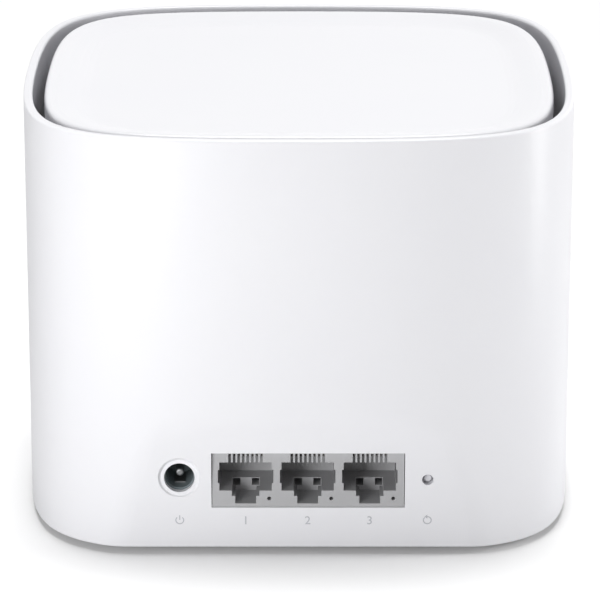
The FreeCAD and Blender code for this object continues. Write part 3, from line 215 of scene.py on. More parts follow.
# Polyester film, silver filled: a cool pale grey that is nearly flat.
LABEL_FILM = Finish("silver_polyester_label_film", "#D4D6D9", "#CDCFD3", 0.42, 0.06, ior=1.58,
                    grain_mm=0.3, bump_mm=0.004, patch_mm=12.0)
# Steel, rolled and zinc plated: bright grey with fine drawn lines.
SCREW_ZINC = Finish("zinc_plated_steel_rolled", "#C6C7C9", "#B8B9BE", 0.30, 0.10, metallic=1.0,
                    grain=Grain.BRUSHED, grain_mm=0.15, bump_mm=0.004, patch_mm=2.0)
# The inner frame is the same ABS with a deep matt texture, and seldom catches light.
FRAME_ABS = Finish("white_abs_moulded_matt", "#EFEFF1", "#E6E6E9", 0.55, 0.08, grain_mm=0.5, bump_mm=0.02)
# Glass laminate under solder mask: deep green with a thin gloss over a faint weave.
BOARD_MASK = Finish("green_solder_mask_on_glass_laminate", "#1D5A3C", "#174D33", 0.32, 0.08, ior=1.54,
                    grain=Grain.WOVEN, grain_mm=0.8, bump_mm=0.008, patch_mm=6.0, coat=0.3)
# The antennas' laminate has a black mask, with the same gloss and weave.
ANTENNA_MASK = Finish("black_solder_mask_on_glass_laminate", "#26292B", "#1F2224", 0.34, 0.08, ior=1.54,
                      grain=Grain.WOVEN, grain_mm=0.8, bump_mm=0.008, patch_mm=6.0, coat=0.3)
# Tinned sheet steel, drawn: a pale, slightly warm metal.
CAN_TIN = Finish("tinned_steel_drawn_can", "#D5D5D2", "#C5C5C2", 0.26, 0.08, metallic=1.0,
                 grain=Grain.BRUSHED, grain_mm=0.3, bump_mm=0.004, patch_mm=8.0)
# Epoxy, transfer moulded: flat black with a fine grain.
CHIP_RESIN = Finish("black_epoxy_transfer_moulded", "#26262A", "#202023", 0.62, 0.08,
                    grain_mm=0.12, bump_mm=0.006, patch_mm=3.0)
# Gap pad silicone, cast: dusty blue grey with no shine.
PAD_SILICONE = Finish("blue_grey_gap_pad_silicone", "#8DA3B5", "#8298AB", 0.80, 0.06, ior=1.41,
                      grain=Grain.CAST, grain_mm=0.3, bump_mm=0.02, patch_mm=5.0)
# Aluminium, extruded and clear anodised: silver with fine drawn lines.
SINK_ALUMINIUM = Finish("clear_anodised_aluminium_extruded", "#D3D4D6", "#C9CACD", 0.34, 0.08, metallic=1.0,
                        grain=Grain.BRUSHED, grain_mm=0.35, bump_mm=0.008, patch_mm=14.0)
# Aluminium, deep drawn: a brighter silver with fine lines.
CAPACITOR_CAN = Finish("aluminium_can_drawn", "#C9CACC", "#BEBFC2", 0.30, 0.08, metallic=1.0,
                       grain=Grain.BRUSHED, grain_mm=0.2, bump_mm=0.003, patch_mm=3.0)
# Nylon, moulded: a flat light grey.
JACK_NYLON = Finish("light_grey_nylon_moulded", "#B8B8BA", "#B1B1B3", 0.48, 0.08, ior=1.53,
                    grain_mm=0.25, bump_mm=0.006, patch_mm=8.0)
# Phosphor bronze under flash gold, painted a dark brown that stands in for the shade deep in the jack's
# slits, so it shows only as a glint.
CONTACT_GOLD_DARKENED_AS_SHADE = Finish("flash_gold_on_phosphor_bronze", "#64563A", "#564A32", 0.34, 0.06, metallic=1.0,
                      grain=Grain.BRUSHED, grain_mm=0.1, bump_mm=0.002, patch_mm=2.0)
# Nylon, moulded, painted a lighter blue grey than its own dark tone: the lift is painted light that stands in
# for light inside the jack's bore, which still turns black at its top.
NYLON_LIGHTENED_AS_BORE_LIGHT = Finish("slate_nylon_moulded", "#828C90", "#7B8589", 0.42, 0.08, ior=1.53,
                     grain_mm=0.25, bump_mm=0.006, patch_mm=5.0)
# Spring steel, stamped and nickel plated: bright and faintly warm.
NICKEL = Finish("nickel_plated_spring_steel_stamped", "#C9C8C3", "#BBBAB4", 0.20, 0.06, metallic=1.0,
                grain=Grain.POLISHED, grain_mm=0.6, bump_mm=0.002, patch_mm=2.0)
# Brass, turned, plated and tumbled: the power pin and its spring show as dull grey metal.
DULL_NICKEL = Finish("tumbled_nickel_on_brass", "#8E8F90", "#858687", 0.48, 0.08, metallic=1.0,
                     grain=Grain.POLISHED, grain_mm=0.4, bump_mm=0.003, patch_mm=2.0)
# Nylon, moulded: a plain black.
STEM_NYLON = Finish("black_nylon_stem_moulded", "#2C2C2E", "#262628", 0.45, 0.06, grain_mm=0.2, bump_mm=0.004)
# Fluoropolymer, extruded: black with a waxy sheen.
COAX_JACKET = Finish("black_fluoropolymer_jacket_extruded", "#232325", "#1D1D1F", 0.35, 0.06, ior=1.38,
                     grain=Grain.POLISHED, grain_mm=1.0, bump_mm=0.004, patch_mm=5.0)
# Tin solder, reflowed: bright silver with a soft, uneven skin.
SOLDER = Finish("tin_solder_reflowed", "#C4C5C6", "#B4B5B7", 0.24, 0.08, metallic=1.0,
                grain=Grain.POLISHED, grain_mm=0.5, bump_mm=0.01, patch_mm=1.0)
# Brass, stamped and gold plated: a clear yellow metal.
PLUG_GOLD = Finish("gold_plated_brass_stamped", "#D3AE58", "#C49C48", 0.24, 0.06, metallic=1.0,
                   grain=Grain.POLISHED, grain_mm=0.4, bump_mm=0.003, patch_mm=1.0)
# Polycarbonate, moulded: milky clear, with light soft inside it.
CLEAR_PC = Finish("clear_polycarbonate_moulded", "#EEF1F3", "#E8ECEF", 0.30, 0.05, ior=1.585,
                  grain=Grain.POLISHED, grain_mm=0.8, bump_mm=0.003, patch_mm=4.0, transmission=0.6)
# Phosphor in silicone: pale yellow.
LED_PHOSPHOR = Finish("yellow_phosphor_silicone", "#EFE6A8", "#E6DC98", 0.40, 0.05, ior=1.41,
                      grain_mm=0.1, bump_mm=0.003, patch_mm=0.5)
# Pad printing ink: a faint grey on the white.
PRINT_INK = Finish("pale_grey_pad_printed_ink", "#C3C4CA", "#BFC0C6", 0.45, 0.05, grain_mm=0.2, bump_mm=0.001)
# Thermal print: dark grey and flat.
LABEL_INK = Finish("dark_grey_thermal_print", "#55565A", "#4D4E52", 0.55, 0.05, grain_mm=0.2, bump_mm=0.001)
# Ceramic, fired: a flat warm brown.
CERAMIC = Finish("fired_brown_ceramic", "#8A7563", "#7A6757", 0.50, 0.08,
                 grain_mm=0.08, bump_mm=0.002, patch_mm=1.0)
# Tin over silver on the ends of the same parts: small bright caps.
END_TIN = Finish("tinned_silver_end_caps", "#C8C9C9", "#B9BABB", 0.30, 0.08, metallic=1.0,
                 grain=Grain.POLISHED, grain_mm=0.2, bump_mm=0.002, patch_mm=0.6)

CAD_FINISHES: dict[str, Finish] = {
    "outer_shell": WHITE_ABS, "top_cover": COVER_ABS, "base_cover": BASE_ABS, "reset_pin": PIN_POM,
    "rating_label_blank": LABEL_FILM, "shell_screws": SCREW_ZINC, "frame_screws": SCREW_ZINC,
    "heatsink_screws": SCREW_ZINC, "inner_frame": FRAME_ABS, "main_board": BOARD_MASK,
    "main_shield_can": CAN_TIN, "radio_shield_can": CAN_TIN, "crystal": CAN_TIN,
    "processor": CHIP_RESIN, "memory_chip": CHIP_RESIN, "radio_chip_a": CHIP_RESIN,
    "radio_chip_b": CHIP_RESIN, "switch_chip": CHIP_RESIN, "flash_chip": CHIP_RESIN,
    "power_inductors": CHIP_RESIN,
    "main_thermal_pad": PAD_SILICONE, "radio_thermal_pad": PAD_SILICONE, "heatsink": SINK_ALUMINIUM,
    "power_capacitors": CAPACITOR_CAN, "network_jack_housing": JACK_NYLON,
    # The power jack and reset switch bodies get nylon painted lighter as painted light for the jack's bore.
    "power_jack_body": NYLON_LIGHTENED_AS_BORE_LIGHT, "reset_switch_body": NYLON_LIGHTENED_AS_BORE_LIGHT, "power_jack_pin": DULL_NICKEL,
    "power_jack_spring": DULL_NICKEL, "reset_switch_dome": NICKEL, "reset_switch_stem": STEM_NYLON,
    "antenna_feed_joints": SOLDER, "coax_plugs": PLUG_GOLD, "status_lens": CLEAR_PC, "light_pipe": CLEAR_PC,
    "status_led": LED_PHOSPHOR,
}
CAD_FINISHES |= {f"lan_transformer_{number}": CHIP_RESIN for number in PORT_NUMBERS}
# The contacts get gold painted dark as painted shade for the slits they sit in.
CAD_FINISHES |= {f"network_contacts_{number}": CONTACT_GOLD_DARKENED_AS_SHADE for number in PORT_NUMBERS}
CAD_FINISHES |= {f"rubber_foot_{number}": FOOT_RUBBER for number in FOOT_NUMBERS}
CAD_FINISHES |= {f"antenna_{side}": ANTENNA_MASK for side in SIDES}
CAD_FINISHES |= {f"coax_lead_{side}": COAX_JACKET for side in SIDES}


def dress(piece: bpy.types.Object, finish: Finish) -> None:
    """Put one finish on the whole of a piece."""
    made = finish.build()
    if piece.material_slots:
        for slot in piece.material_slots:
            slot.material = made
    else:
        piece.data.materials.append(made)


def dress_cad_nodes() -> None:
    """Give each CAD node its procedural finish."""
    for name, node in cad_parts.items():
        dress(node, CAD_FINISHES[name])
        log.info("dressed %s as %s", name, CAD_FINISHES[name].name)


def settle(piece: bpy.types.Object, slot: str, finish: Finish, *stands_for: str) -> bpy.types.Object:
    """Finish a new piece: its material, its body and the CAD nodes it stands for.

    Args:
        piece: a mesh object at the origin.
        slot: not used.
        finish: its finish.
        stands_for: CAD nodes that are no longer shown.

    Returns:
        The same piece.
    """
    dress(piece, finish)
    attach(piece, HOUSING)
    if stands_for:
        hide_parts(*stands_for)
    log.info("built %s, %d faces", piece.name, len(piece.data.polygons))
    return piece


# ================================================================ shared mesh builders
def new_piece(name: str, mesh: bpy.types.Mesh) -> bpy.types.Object:
    """Link a new object for a mesh to the scene."""
    piece = bpy.data.objects.new(name, mesh)
    bpy.context.scene.collection.objects.link(piece)
    return piece


def mesh_from(name: str, verts: list, faces: list) -> bpy.types.Mesh:
    """Make a mesh with its faces turned outward.

    Args:
        name: the mesh's name.
        verts: points in metres.
        faces: tuples of point numbers.

    Returns:
        The mesh.
    """
    mesh = bpy.data.meshes.new(name)
    mesh.from_pydata(verts, [], faces)
    work = bmesh.new()
    work.from_mesh(mesh)
    bmesh.ops.recalc_face_normals(work, faces=work.faces)
    work.to_mesh(mesh)
    work.free()
    return mesh


def lathe(name: str, profile: list[tuple[float, float]], segments: int = 64) -> bpy.types.Mesh:
    """Turn a closed profile round the Z axis.

    Args:
        name: the mesh's name.
        profile: radius and height in millimetres, from the axis round to the axis again.
        segments: how many steps round.

    Returns:
        A closed mesh.
    """
    verts, rings = [], []
    for radius, height in profile:
        count = segments if radius > ON_AXIS else 1
        rings.append(range(len(verts), len(verts) + count))
        for step in range(count):
            turn = math.tau * step / segments
            verts.append((radius * MM * math.cos(turn), radius * MM * math.sin(turn), height * MM))
    faces = []
    for low, high in zip(rings, rings[1:]):
        for step in range(segments):
            after = (step + 1) % segments
            corners = [low[step % len(low)], low[after % len(low)],
                       high[after % len(high)], high[step % len(high)]]
            face = tuple(dict.fromkeys(corners))
            if len(face) > 2:
                faces.append(face)
    return mesh_from(name, verts, faces)


def bevelled_box(name: str, size: tuple[float, float, float], bevel: float,
                 middle: float = 0.0) -> bpy.types.Mesh:
    """A box with rounded edges that stands on z = 0.

    Args:
        name: the mesh's name.
        size: width, depth and height in millimetres.
        bevel: edge radius in millimetres.
        middle: where its middle is along X, in millimetres.

    Returns:
        The mesh.
    """
    mesh = bpy.data.meshes.new(name)
    work = bmesh.new()
    stretch = Matrix.Diagonal([v * MM for v in size] + [1.0])
    place = Matrix.Translation((middle * MM, 0, size[2] * MM / 2)) @ stretch
    bmesh.ops.create_cube(work, size=1.0, matrix=place)
    bmesh.ops.bevel(work, geom=work.edges[:], offset=bevel * MM, segments=2, profile=0.5, affect="EDGES")
    work.to_mesh(mesh)
    work.free()
    return mesh


def flat_shape(name: str, outlines: list[list[tuple[float, float]]], thick: float) -> bpy.types.Mesh:
    """Fill closed outlines and give them a thickness, centred on the plane.

    Args:
        name: the mesh's name.
        outlines: closed outlines in millimetres.
        thick: thickness in millimetres.

    Returns:
        The mesh, in the XY plane.
    """
    curve = bpy.data.curves.new(name, "CURVE")
    curve.dimensions = "2D"
    curve.fill_mode = "BOTH"
    curve.extrude = thick * MM / 2
    for outline in outlines:
        spline = curve.splines.new("POLY")
        spline.points.add(len(outline) - 1)
        for point, (x, y) in zip(spline.points, outline):
            point.co = (x * MM, y * MM, 0.0, 1.0)
        spline.use_cyclic_u = True
    return curve_to_mesh(name, curve)


def numeral(name: str, text: str, height: float, thick: float) -> bpy.types.Mesh:
    """Plain numerals as a thin solid, centred in X and standing on y = 0.

    Args:
        name: the mesh's name.
        text: the digits.
        height: height of a digit in millimetres.
        thick: thickness in millimetres.

    Returns:
        The mesh, in the XY plane.
    """
    curve = bpy.data.curves.new(name, "FONT")
    curve.body = text
    curve.align_x = "CENTER"
    curve.size = height * MM / DIGIT_SHARE
    curve.extrude = thick * MM / 2
    return curve_to_mesh(name, curve)


def curve_to_mesh(name: str, curve: bpy.types.Curve) -> bpy.types.Mesh:
    """Turn a curve into a mesh and drop the curve."""
    shaper = new_piece(name + "_shaper", curve)
    ready = shaper.evaluated_get(bpy.context.evaluated_depsgraph_get())
    mesh = bpy.data.meshes.new_from_object(ready)
    mesh.name = name
    mesh.materials.clear()
    bpy.data.objects.remove(shaper)
    return mesh


def join_meshes(name: str, meshes: list[bpy.types.Mesh]) -> bpy.types.Mesh:
    """Put several meshes into one, with doubled points merged and faces outward."""
    work = bmesh.new()
    for mesh in meshes:
        work.from_mesh(mesh)
    bmesh.ops.remove_doubles(work, verts=work.verts, dist=MERGE_DISTANCE)
    bmesh.ops.recalc_face_normals(work, faces=work.faces)
    whole = bpy.data.meshes.new(name)
    work.to_mesh(whole)
    work.free()
    return whole


def smooth_by_angle(mesh: bpy.types.Mesh, degrees: float = 35.0) -> None:
    """Shade smooth, but keep edges sharp where two faces meet at more than an angle."""
    mesh.shade_smooth()
    work = bmesh.new()
    work.from_mesh(mesh)
    for edge in work.edges:
        edge.smooth = len(edge.link_faces) == 2 and edge.calc_face_angle() < math.radians(degrees)
    work.to_mesh(mesh)
    work.free()


# ================================================================ repeated parts
@dataclass
class Repeated:
    """One part repeated on a set of points by Geometry Nodes, with an optional cross drive cut into it."""

    name: str
    part: bpy.types.Mesh
    places: list[tuple[float, float, float]]
    finish: Finish
    turn_step: float = 0.0
    turn_count: int = 1
    drive_length: float = 0.0
    drive_width: float = 0.0
    drive_depth: float = 0.0
    seed: int = 7

    def tree(self) -> tuple[bpy.types.NodeTree, dict[str, str]]:
        """Build the node tree and return it with its inputs' identifiers."""
        tree = bpy.data.node_groups.new(self.name + "_repeat", "GeometryNodeTree")
        tree.interface.new_socket("Places", in_out="INPUT", socket_type="NodeSocketGeometry")
        tree.interface.new_socket("Repeated", in_out="OUTPUT", socket_type="NodeSocketGeometry")
        kinds = {"Part": "Object", "Turn Step": "Float", "Turn Count": "Int", "Drive Long": "Vector",
                 "Drive Across": "Vector", "Seed": "Int", "Finish": "Material"}
        made = {label: tree.interface.new_socket(label, in_out="INPUT", socket_type="NodeSocket" + kind)
                for label, kind in kinds.items()}
        given = add_node(tree, "NodeGroupInput").outputs
        part = add_node(tree, "GeometryNodeObjectInfo", {"Object": given["Part"]}).outputs["Geometry"]
        if self.drive_depth:
            bars = [add_node(tree, "GeometryNodeMeshCube", {"Size": given[label]}).outputs["Mesh"]
                    for label in ("Drive Long", "Drive Across")]
            cut = add_node(tree, "GeometryNodeMeshBoolean", {"Mesh 1": part}, operation="DIFFERENCE")
            for bar in bars:
                tree.links.new(bar, cut.inputs["Mesh 2"])
            part = cut.outputs["Mesh"]
        steps = add_node(tree, "FunctionNodeRandomValue", {"Seed": given["Seed"]}, data_type="INT")
        whole = [s for s in steps.inputs if s.type == "INT"]
        whole[0].default_value = 0
        tree.links.new(given["Turn Count"], whole[1])
        drawn = [s for s in steps.outputs if s.type == "INT"][0]
        angle = add_node(tree, "ShaderNodeMath", {0: drawn, 1: given["Turn Step"]}, operation="MULTIPLY")
        euler = add_node(tree, "ShaderNodeCombineXYZ", {"Z": angle.outputs[0]})
        turn = add_node(tree, "FunctionNodeEulerToRotation", {0: euler.outputs[0]})
        spread = add_node(tree, "GeometryNodeInstanceOnPoints",
                          {"Points": given["Places"], "Instance": part, "Rotation": turn.outputs[0]})
        real = add_node(tree, "GeometryNodeRealizeInstances", {0: spread.outputs[0]})
        dressed = add_node(tree, "GeometryNodeSetMaterial",
                           {"Geometry": real.outputs[0], "Material": given["Finish"]})
        add_node(tree, "NodeGroupOutput", {0: dressed.outputs[0]})
        return tree, {label: socket.identifier for label, socket in made.items()}

    def build(self, slot: str, *stands_for: str) -> bpy.types.Object:
        """Run the tree, keep its mesh and finish the piece."""
        source = new_piece(self.name + "_part", self.part)
        points = bpy.data.meshes.new(self.name)
        points.from_pydata(self.places, [], [])
        piece = new_piece(self.name, points)
        tree, names = self.tree()
        modifier = piece.modifiers.new("repeat", "NODES")
        modifier.node_group = tree
        modifier[names["Part"]] = source
        modifier[names["Turn Step"]] = self.turn_step
        modifier[names["Turn Count"]] = self.turn_count - 1
        long, wide, deep = self.drive_length * MM, self.drive_width * MM, 2 * self.drive_depth * MM
        modifier[names["Drive Long"]] = [long, wide, deep]
        modifier[names["Drive Across"]] = [wide, long, deep]
        modifier[names["Seed"]] = self.seed
        modifier[names["Finish"]] = self.finish.build()
        ready = piece.evaluated_get(bpy.context.evaluated_depsgraph_get())
        mesh = bpy.data.meshes.new_from_object(ready)
        piece.modifiers.clear()
        piece.data = mesh
        bpy.data.objects.remove(source)
        smooth_by_angle(mesh)
        return settle(piece, slot, self.finish, *stands_for)


@dataclass
class PanHeadScrews:
    """Four pan head screws with a cross drive and a ringed shank, where a CAD node has them."""

    node: str
    head_radius: float = 2.7
    head_height: float = 1.6
    head_curve: tuple[tuple[float, float], ...] = (     # shares of the head's radius and height
        (0.55, 0.0), (0.78, 0.06), (0.92, 0.22), (1.0, 0.52), (1.0, 0.96), (0.97, 1.0))
    shank_radius: float = 1.48
    root_radius: float = 1.22
    root_share: float = 0.45                            # how far up each pitch the root lies
    thread_pitch: float = 0.8
    point: float = 1.2
    point_share: float = 0.35                           # the tip's radius as a share of the shank's
    drive_length: float = 2.9
    drive_width: float = 0.62
    drive_depth: float = 1.0
    turn_step: float = 0.31                             # radians between the turns a drive is left at
    turn_count: int = 9
    segments: int = 48

    def profile(self, length: float) -> list[tuple[float, float]]:
        """The screw's half section, head down, with its head face on z = 0."""
        head, tall, shank = self.head_radius, self.head_height, self.shank_radius
        points = [(0.0, 0.0)] + [(head * out, tall * up) for out, up in self.head_curve] + [(shank, tall)]
        height = tall
        while height + self.thread_pitch < length - self.point:
            points += [(self.root_radius, height + self.thread_pitch * self.root_share),
                       (shank, height + self.thread_pitch)]
            height += self.thread_pitch
        return points + [(self.root_radius, length - self.point), (shank * self.point_share, length),
                         (0.0, length)]

    def build(self) -> None:
        """Build the four screws of the node."""
        low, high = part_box(self.node)
        reach_x = high.x - self.head_radius * MM
        reach_y = high.y - self.head_radius * MM
        middle_x, middle_y = (low.x + high.x) / 2, (low.y + high.y) / 2
        places = [(middle_x + sx * (reach_x - middle_x), middle_y + sy * (reach_y - middle_y), low.z)
                  for sx in (-1, 1) for sy in (-1, 1)]
        screw = lathe(self.node + "_turned", self.profile((high.z - low.z) / MM), self.segments)
        Repeated(self.node + "_cross_drive", screw, places, SCREW_ZINC,
                 turn_step=self.turn_step, turn_count=self.turn_count,
                 drive_length=self.drive_length, drive_width=self.drive_width,
                 drive_depth=self.drive_depth).build("screw_steel", self.node)


@dataclass
class GripFeet:
    """The rubber feet with a rounded edge and grip rings moulded into their soles."""

    ring_radii: tuple[float, ...] = (1.8, 3.3, 4.8)
    ring_width: float = 0.5
    ring_depth: float = 0.25
    edge_round: float = 0.55
    round_steps: int = 6
    segments: int = 96

    def build(self) -> None:
        """Build all four feet as one piece."""
        names = [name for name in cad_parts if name.startswith("rubber_foot_")]
        low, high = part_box(names[0])
        radius = (high.x - low.x) / 2 / MM
        tall = (high.z - low.z) / MM
        profile = [(0.0, 0.0)]
        for ring in self.ring_radii:
            half = self.ring_width / 2
            profile += [(ring - half, 0.0), (ring - half / 2, self.ring_depth),
                        (ring + half / 2, self.ring_depth), (ring + half, 0.0)]
        for step in range(self.round_steps + 1):
            turn = math.pi / 2 * step / self.round_steps
            profile.append((radius - self.edge_round * (1 - math.sin(turn)),
                            self.edge_round * (1 - math.cos(turn))))
        profile += [(radius, tall), (0.0, tall)]
        places = []
        for name in names:
            low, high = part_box(name)
            places.append(((low.x + high.x) / 2, (low.y + high.y) / 2, low.z))
        foot = lathe("rubber_foot_moulded", profile, self.segments)
        Repeated("rubber_feet_ringed", foot, places, FOOT_RUBBER).build("foot_rubber", *names)


@dataclass
class BoardPassives:
    """Small ceramic parts with tinned ends on the board's free areas."""

    size: tuple[float, float, float] = (1.6, 0.8, 0.7)
    end_length: float = 0.35
    body_share: float = 0.92        # the body's thickness as a share of its ends'
    body_bevel: float = 0.05
    end_bevel: float = 0.08
    pitch: float = 3.6
    clear: float = 1.6
    edge: float = 9.0
    leg_columns: tuple[float, ...] = (37.5, 23.8, 21.8)     # near the frame's and the heat sink's legs
    leg_clear: float = 5.0
    leg_start: float = 12.0         # how far from the board's middle line the legs' columns begin
    wide_nodes: tuple[str, ...] = (     # their boxes cover more of the board than they touch
        "outer_shell", "inner_frame", "shell_screws", "frame_screws", "heatsink", "heatsink_screws",
        "coax_plugs")

    def free_places(self) -> list[tuple[float, float, float]]:
        """Grid points on the board that stay clear of everything that stands on it."""
        low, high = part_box("main_board")
        standing = []
        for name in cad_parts:
            a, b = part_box(name)
            among_parts = a.z < high.z + self.size[2] * MM and b.z > high.z + TOUCHING
            if among_parts and name != "main_board" and name not in self.wide_nodes:
                standing.append((a, b))
        columns = [v * MM for v in self.leg_columns]
        beside, start = self.leg_clear * MM, self.leg_start * MM
        places = []
        step, gap, edge = self.pitch * MM, self.clear * MM, self.edge * MM
        count = int((high.x - low.x) / step)
        for column in range(count):
            for row in range(count):
                x, y = low.x + (column + 0.5) * step, low.x + (row + 0.5) * step
                if max(abs(x), abs(y)) > high.x - edge or math.hypot(x, y) > high.x:
                    continue
                if any(a.x - gap < x < b.x + gap and a.y - gap < y < b.y + gap for a, b in standing):
                    continue
                if any(abs(abs(x) - column_x) < beside and abs(y) > start for column_x in columns):
                    continue
                places.append((x, y, high.z))
        return places

    def build(self) -> None:
        """Build the bodies as one piece and the tinned ends as another."""
        places = self.free_places()
        width, depth, tall = self.size
        inside = (width - self.end_length, depth * self.body_share, tall * self.body_share)
        body = bevelled_box("ceramic_body", inside, self.body_bevel)
        reach = (width - self.end_length) / 2
        end = (self.end_length, depth, tall)
        ends = join_meshes("tinned_ends", [bevelled_box("tinned_end", end, self.end_bevel, side * reach)
                                           for side in (-1, 1)])
        for name, part, finish, slot in (("board_passive_bodies", body, CERAMIC, "chip_resin"),
                                         ("board_passive_ends", ends, END_TIN, "solder")):
            Repeated(name, part, places, finish, turn_step=math.pi / 2, turn_count=2).build(slot)


@dataclass
class SnapDome:
    """The reset switch's snap dome, built at rest as it stands before the stem flattens it."""

    crown_radius: float = 0.6
    thick: float = 0.12
    steps: int = 8

    def profile(self, foot: float, rise: float) -> list[tuple[float, float]]:
        """Closed section of the sheet, in millimetres: out along its front and back along its rear."""
        shares = [step / self.steps for step in range(self.steps + 1)]
        radii = [self.crown_radius + (foot - self.crown_radius) * share for share in shares]
        drops = [rise * (1 - math.cos(math.pi / 2 * share)) for share in shares]
        rear = [(radius - self.thick * share, drop + self.thick * (1 - share))
                for radius, drop, share in zip(radii, drops, shares)]
        return [(0.0, 0.0)] + list(zip(radii, drops)) + rear[::-1] + [(0.0, self.thick)]

    def build(self) -> None:
        """Build the dome at rest."""
        low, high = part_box("reset_switch_dome")
        middle, rise = (low + high) / 2, high.y - low.y
        mesh = lathe("snap_dome_stamped", self.profile((high.x - low.x) / 2 / MM, rise / MM))
        crown_out = Matrix.Rotation(-math.pi / 2, 4, "X")
        mesh.transform(Matrix.Translation((middle.x, low.y, middle.z)) @ crown_out)
        dome = settle(new_piece("snap_dome_stamped", mesh), "jack_nickel", NICKEL, "reset_switch_dome")
        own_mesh(dome)


# ================================================================ printed marks
class Mark(Enum):
    """The symbols that are printed under a port."""

    POWER = "a ring with a bar"
    RESET = "a ring with an arrow"


@dataclass
class PortMarks:
    """Faint plain numerals and symbols under the ports, laid on the leaning panel."""

    below_jack: float = 3.3
    height: float = 2.0
    stroke: float = 0.24
    thick: float = 0.03
    ring_gap: float = 40.0          # degrees
    ring_steps: int = 24
    bar_foot: float = 0.1
    bar_over: float = 0.2
    arrow_half: float = 0.5
    arrow_length: float = 0.65
    stand_off: float = 0.4          # how far a mark's middle is off the panel, as a share of its thickness
    ray_start: float = -1.0         # metres, well in front of the panel

    def surface(self) -> BVHTree:
        """A search tree of the shell's own faces."""
        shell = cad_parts["outer_shell"].data
        return BVHTree.FromPolygons([v.co for v in shell.vertices], [p.vertices for p in shell.polygons])

    def arc(self, start: float, end: float) -> list[tuple[float, float]]:
        """The outline of a ring's stroke from one angle to another, in degrees."""
        outer, inner = self.height / 2, self.height / 2 - self.stroke
        shares = [(end - start) * step / self.ring_steps for step in range(self.ring_steps + 1)]
        turns = [math.radians(start + share) for share in shares]
        return ([(outer * math.cos(t), outer * math.sin(t)) for t in turns]
                + [(inner * math.cos(t), inner * math.sin(t)) for t in reversed(turns)])

    def symbol(self, kind: Mark) -> bpy.types.Mesh:
        """The flat mesh of one symbol, centred on the origin."""
        half = self.stroke / 2
        up, up_again = 90, 450      # degrees, a full turn apart
        if kind is Mark.POWER:
            foot, top = self.bar_foot, self.height / 2 + self.bar_over
            shapes = [self.arc(up + self.ring_gap, up_again - self.ring_gap),
                      [(-half, foot), (half, foot), (half, top), (-half, top)]]
        else:
            tip = self.height / 2 - half
            shapes = [self.arc(up + self.ring_gap, up_again),
                      [(0.0, tip + self.arrow_half), (0.0, tip - self.arrow_half), (-self.arrow_length, tip)]]
        return flat_shape("symbol_" + kind.name.lower(), shapes, self.thick)

    def lay(self, mesh: bpy.types.Mesh, x: float, z: float, tree: BVHTree) -> None:
        """Move a flat mesh to a place on the panel, following its lean."""
        for vert in mesh.vertices:
            px, pz = x + vert.co.x, z + vert.co.y
            hit = tree.ray_cast(Vector((px, self.ray_start, pz)), Vector((0, 1, 0)))[0]
            vert.co = Vector((px, hit.y - vert.co.z - self.thick * MM * self.stand_off, pz))

    def build(self) -> None:
        """Build all five marks as one piece."""
        tree = self.surface()
        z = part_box("network_jack_housing")[0].z - self.below_jack * MM
        meshes = []
        for number in PORT_NUMBERS:
            low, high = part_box(f"network_contacts_{number}")
            mesh = numeral(f"numeral_{number}", str(number), self.height, self.thick)
            self.lay(mesh, (low.x + high.x) / 2, z - self.height * MM / 2, tree)
            meshes.append(mesh)
        for kind, node in ((Mark.POWER, "power_jack_body"), (Mark.RESET, "reset_pin")):
            low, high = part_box(node)
            mesh = self.symbol(kind)
            self.lay(mesh, (low.x + high.x) / 2, z, tree)
            meshes.append(mesh)
        marks = join_meshes("port_marks_printed", meshes)
        settle(new_piece("port_marks_printed", marks), "label_film", PRINT_INK)


@dataclass
class RatingLabel:
    """The film label on the base: round corners, a thin frame line and plain numbers."""

    corner: float = 2.0
    corner_steps: int = 8
    frame_inset: float = 1.5
    frame_line: float = 0.25
    outer_tighter: float = 0.5      # the frame line's corners, below the film's own
    inner_tighter: float = 0.7
    print_thick: float = 0.02
    digit: float = 2.6
    row_pitch: float = 5.5
    rows: tuple[str, ...] = ("12.0  1.5", "0000 0001", "0123 4567 89")

    def rounded(self, width: float, depth: float, corner: float) -> list[tuple[float, float]]:
        """Outline of a rectangle with round corners, in millimetres."""
        points = []
        for quarter, (sx, sy) in enumerate(((1, 1), (-1, 1), (-1, -1), (1, -1))):
            for step in range(self.corner_steps + 1):
                turn = math.pi / 2 * (quarter + step / self.corner_steps)
                points.append((sx * (width / 2 - corner) + corner * math.cos(turn),
                               sy * (depth / 2 - corner) + corner * math.sin(turn)))
        return points

    def build(self) -> None:
        """Build the film and its print."""
        low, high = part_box("rating_label_blank")
        width, depth, thick = [(b - a) / MM for a, b in zip(low, high)]
        middle = (low + high) / 2
        film = flat_shape("rating_label_film", [self.rounded(width, depth, self.corner)], thick)
        film.transform(Matrix.Translation(middle))
        settle(new_piece("rating_label_film", film), "label_film", LABEL_FILM, "rating_label_blank")
        inset, line = 2 * self.frame_inset, 2 * self.frame_line
        outside = self.rounded(width - inset, depth - inset, self.corner - self.outer_tighter)
        inside = self.rounded(width - inset - line, depth - inset - line, self.corner - self.inner_tighter)
        prints = [flat_shape("label_frame_line", [outside, inside], self.print_thick)]
        for row, text in enumerate(self.rows):
            digits = numeral("label_numbers", text, self.digit, self.print_thick)
            up = (1 - row) * self.row_pitch * MM - self.digit * MM / 2
            digits.transform(Matrix.Translation((0, up, 0)))
            prints.append(digits)
        face_down = Matrix.Translation((middle.x, middle.y, low.z)) @ Matrix.Rotation(math.pi, 4, "X")
        ink = join_meshes("rating_label_print", prints)
        ink.transform(face_down)
        settle(new_piece("rating_label_print", ink), "label_film", LABEL_INK)


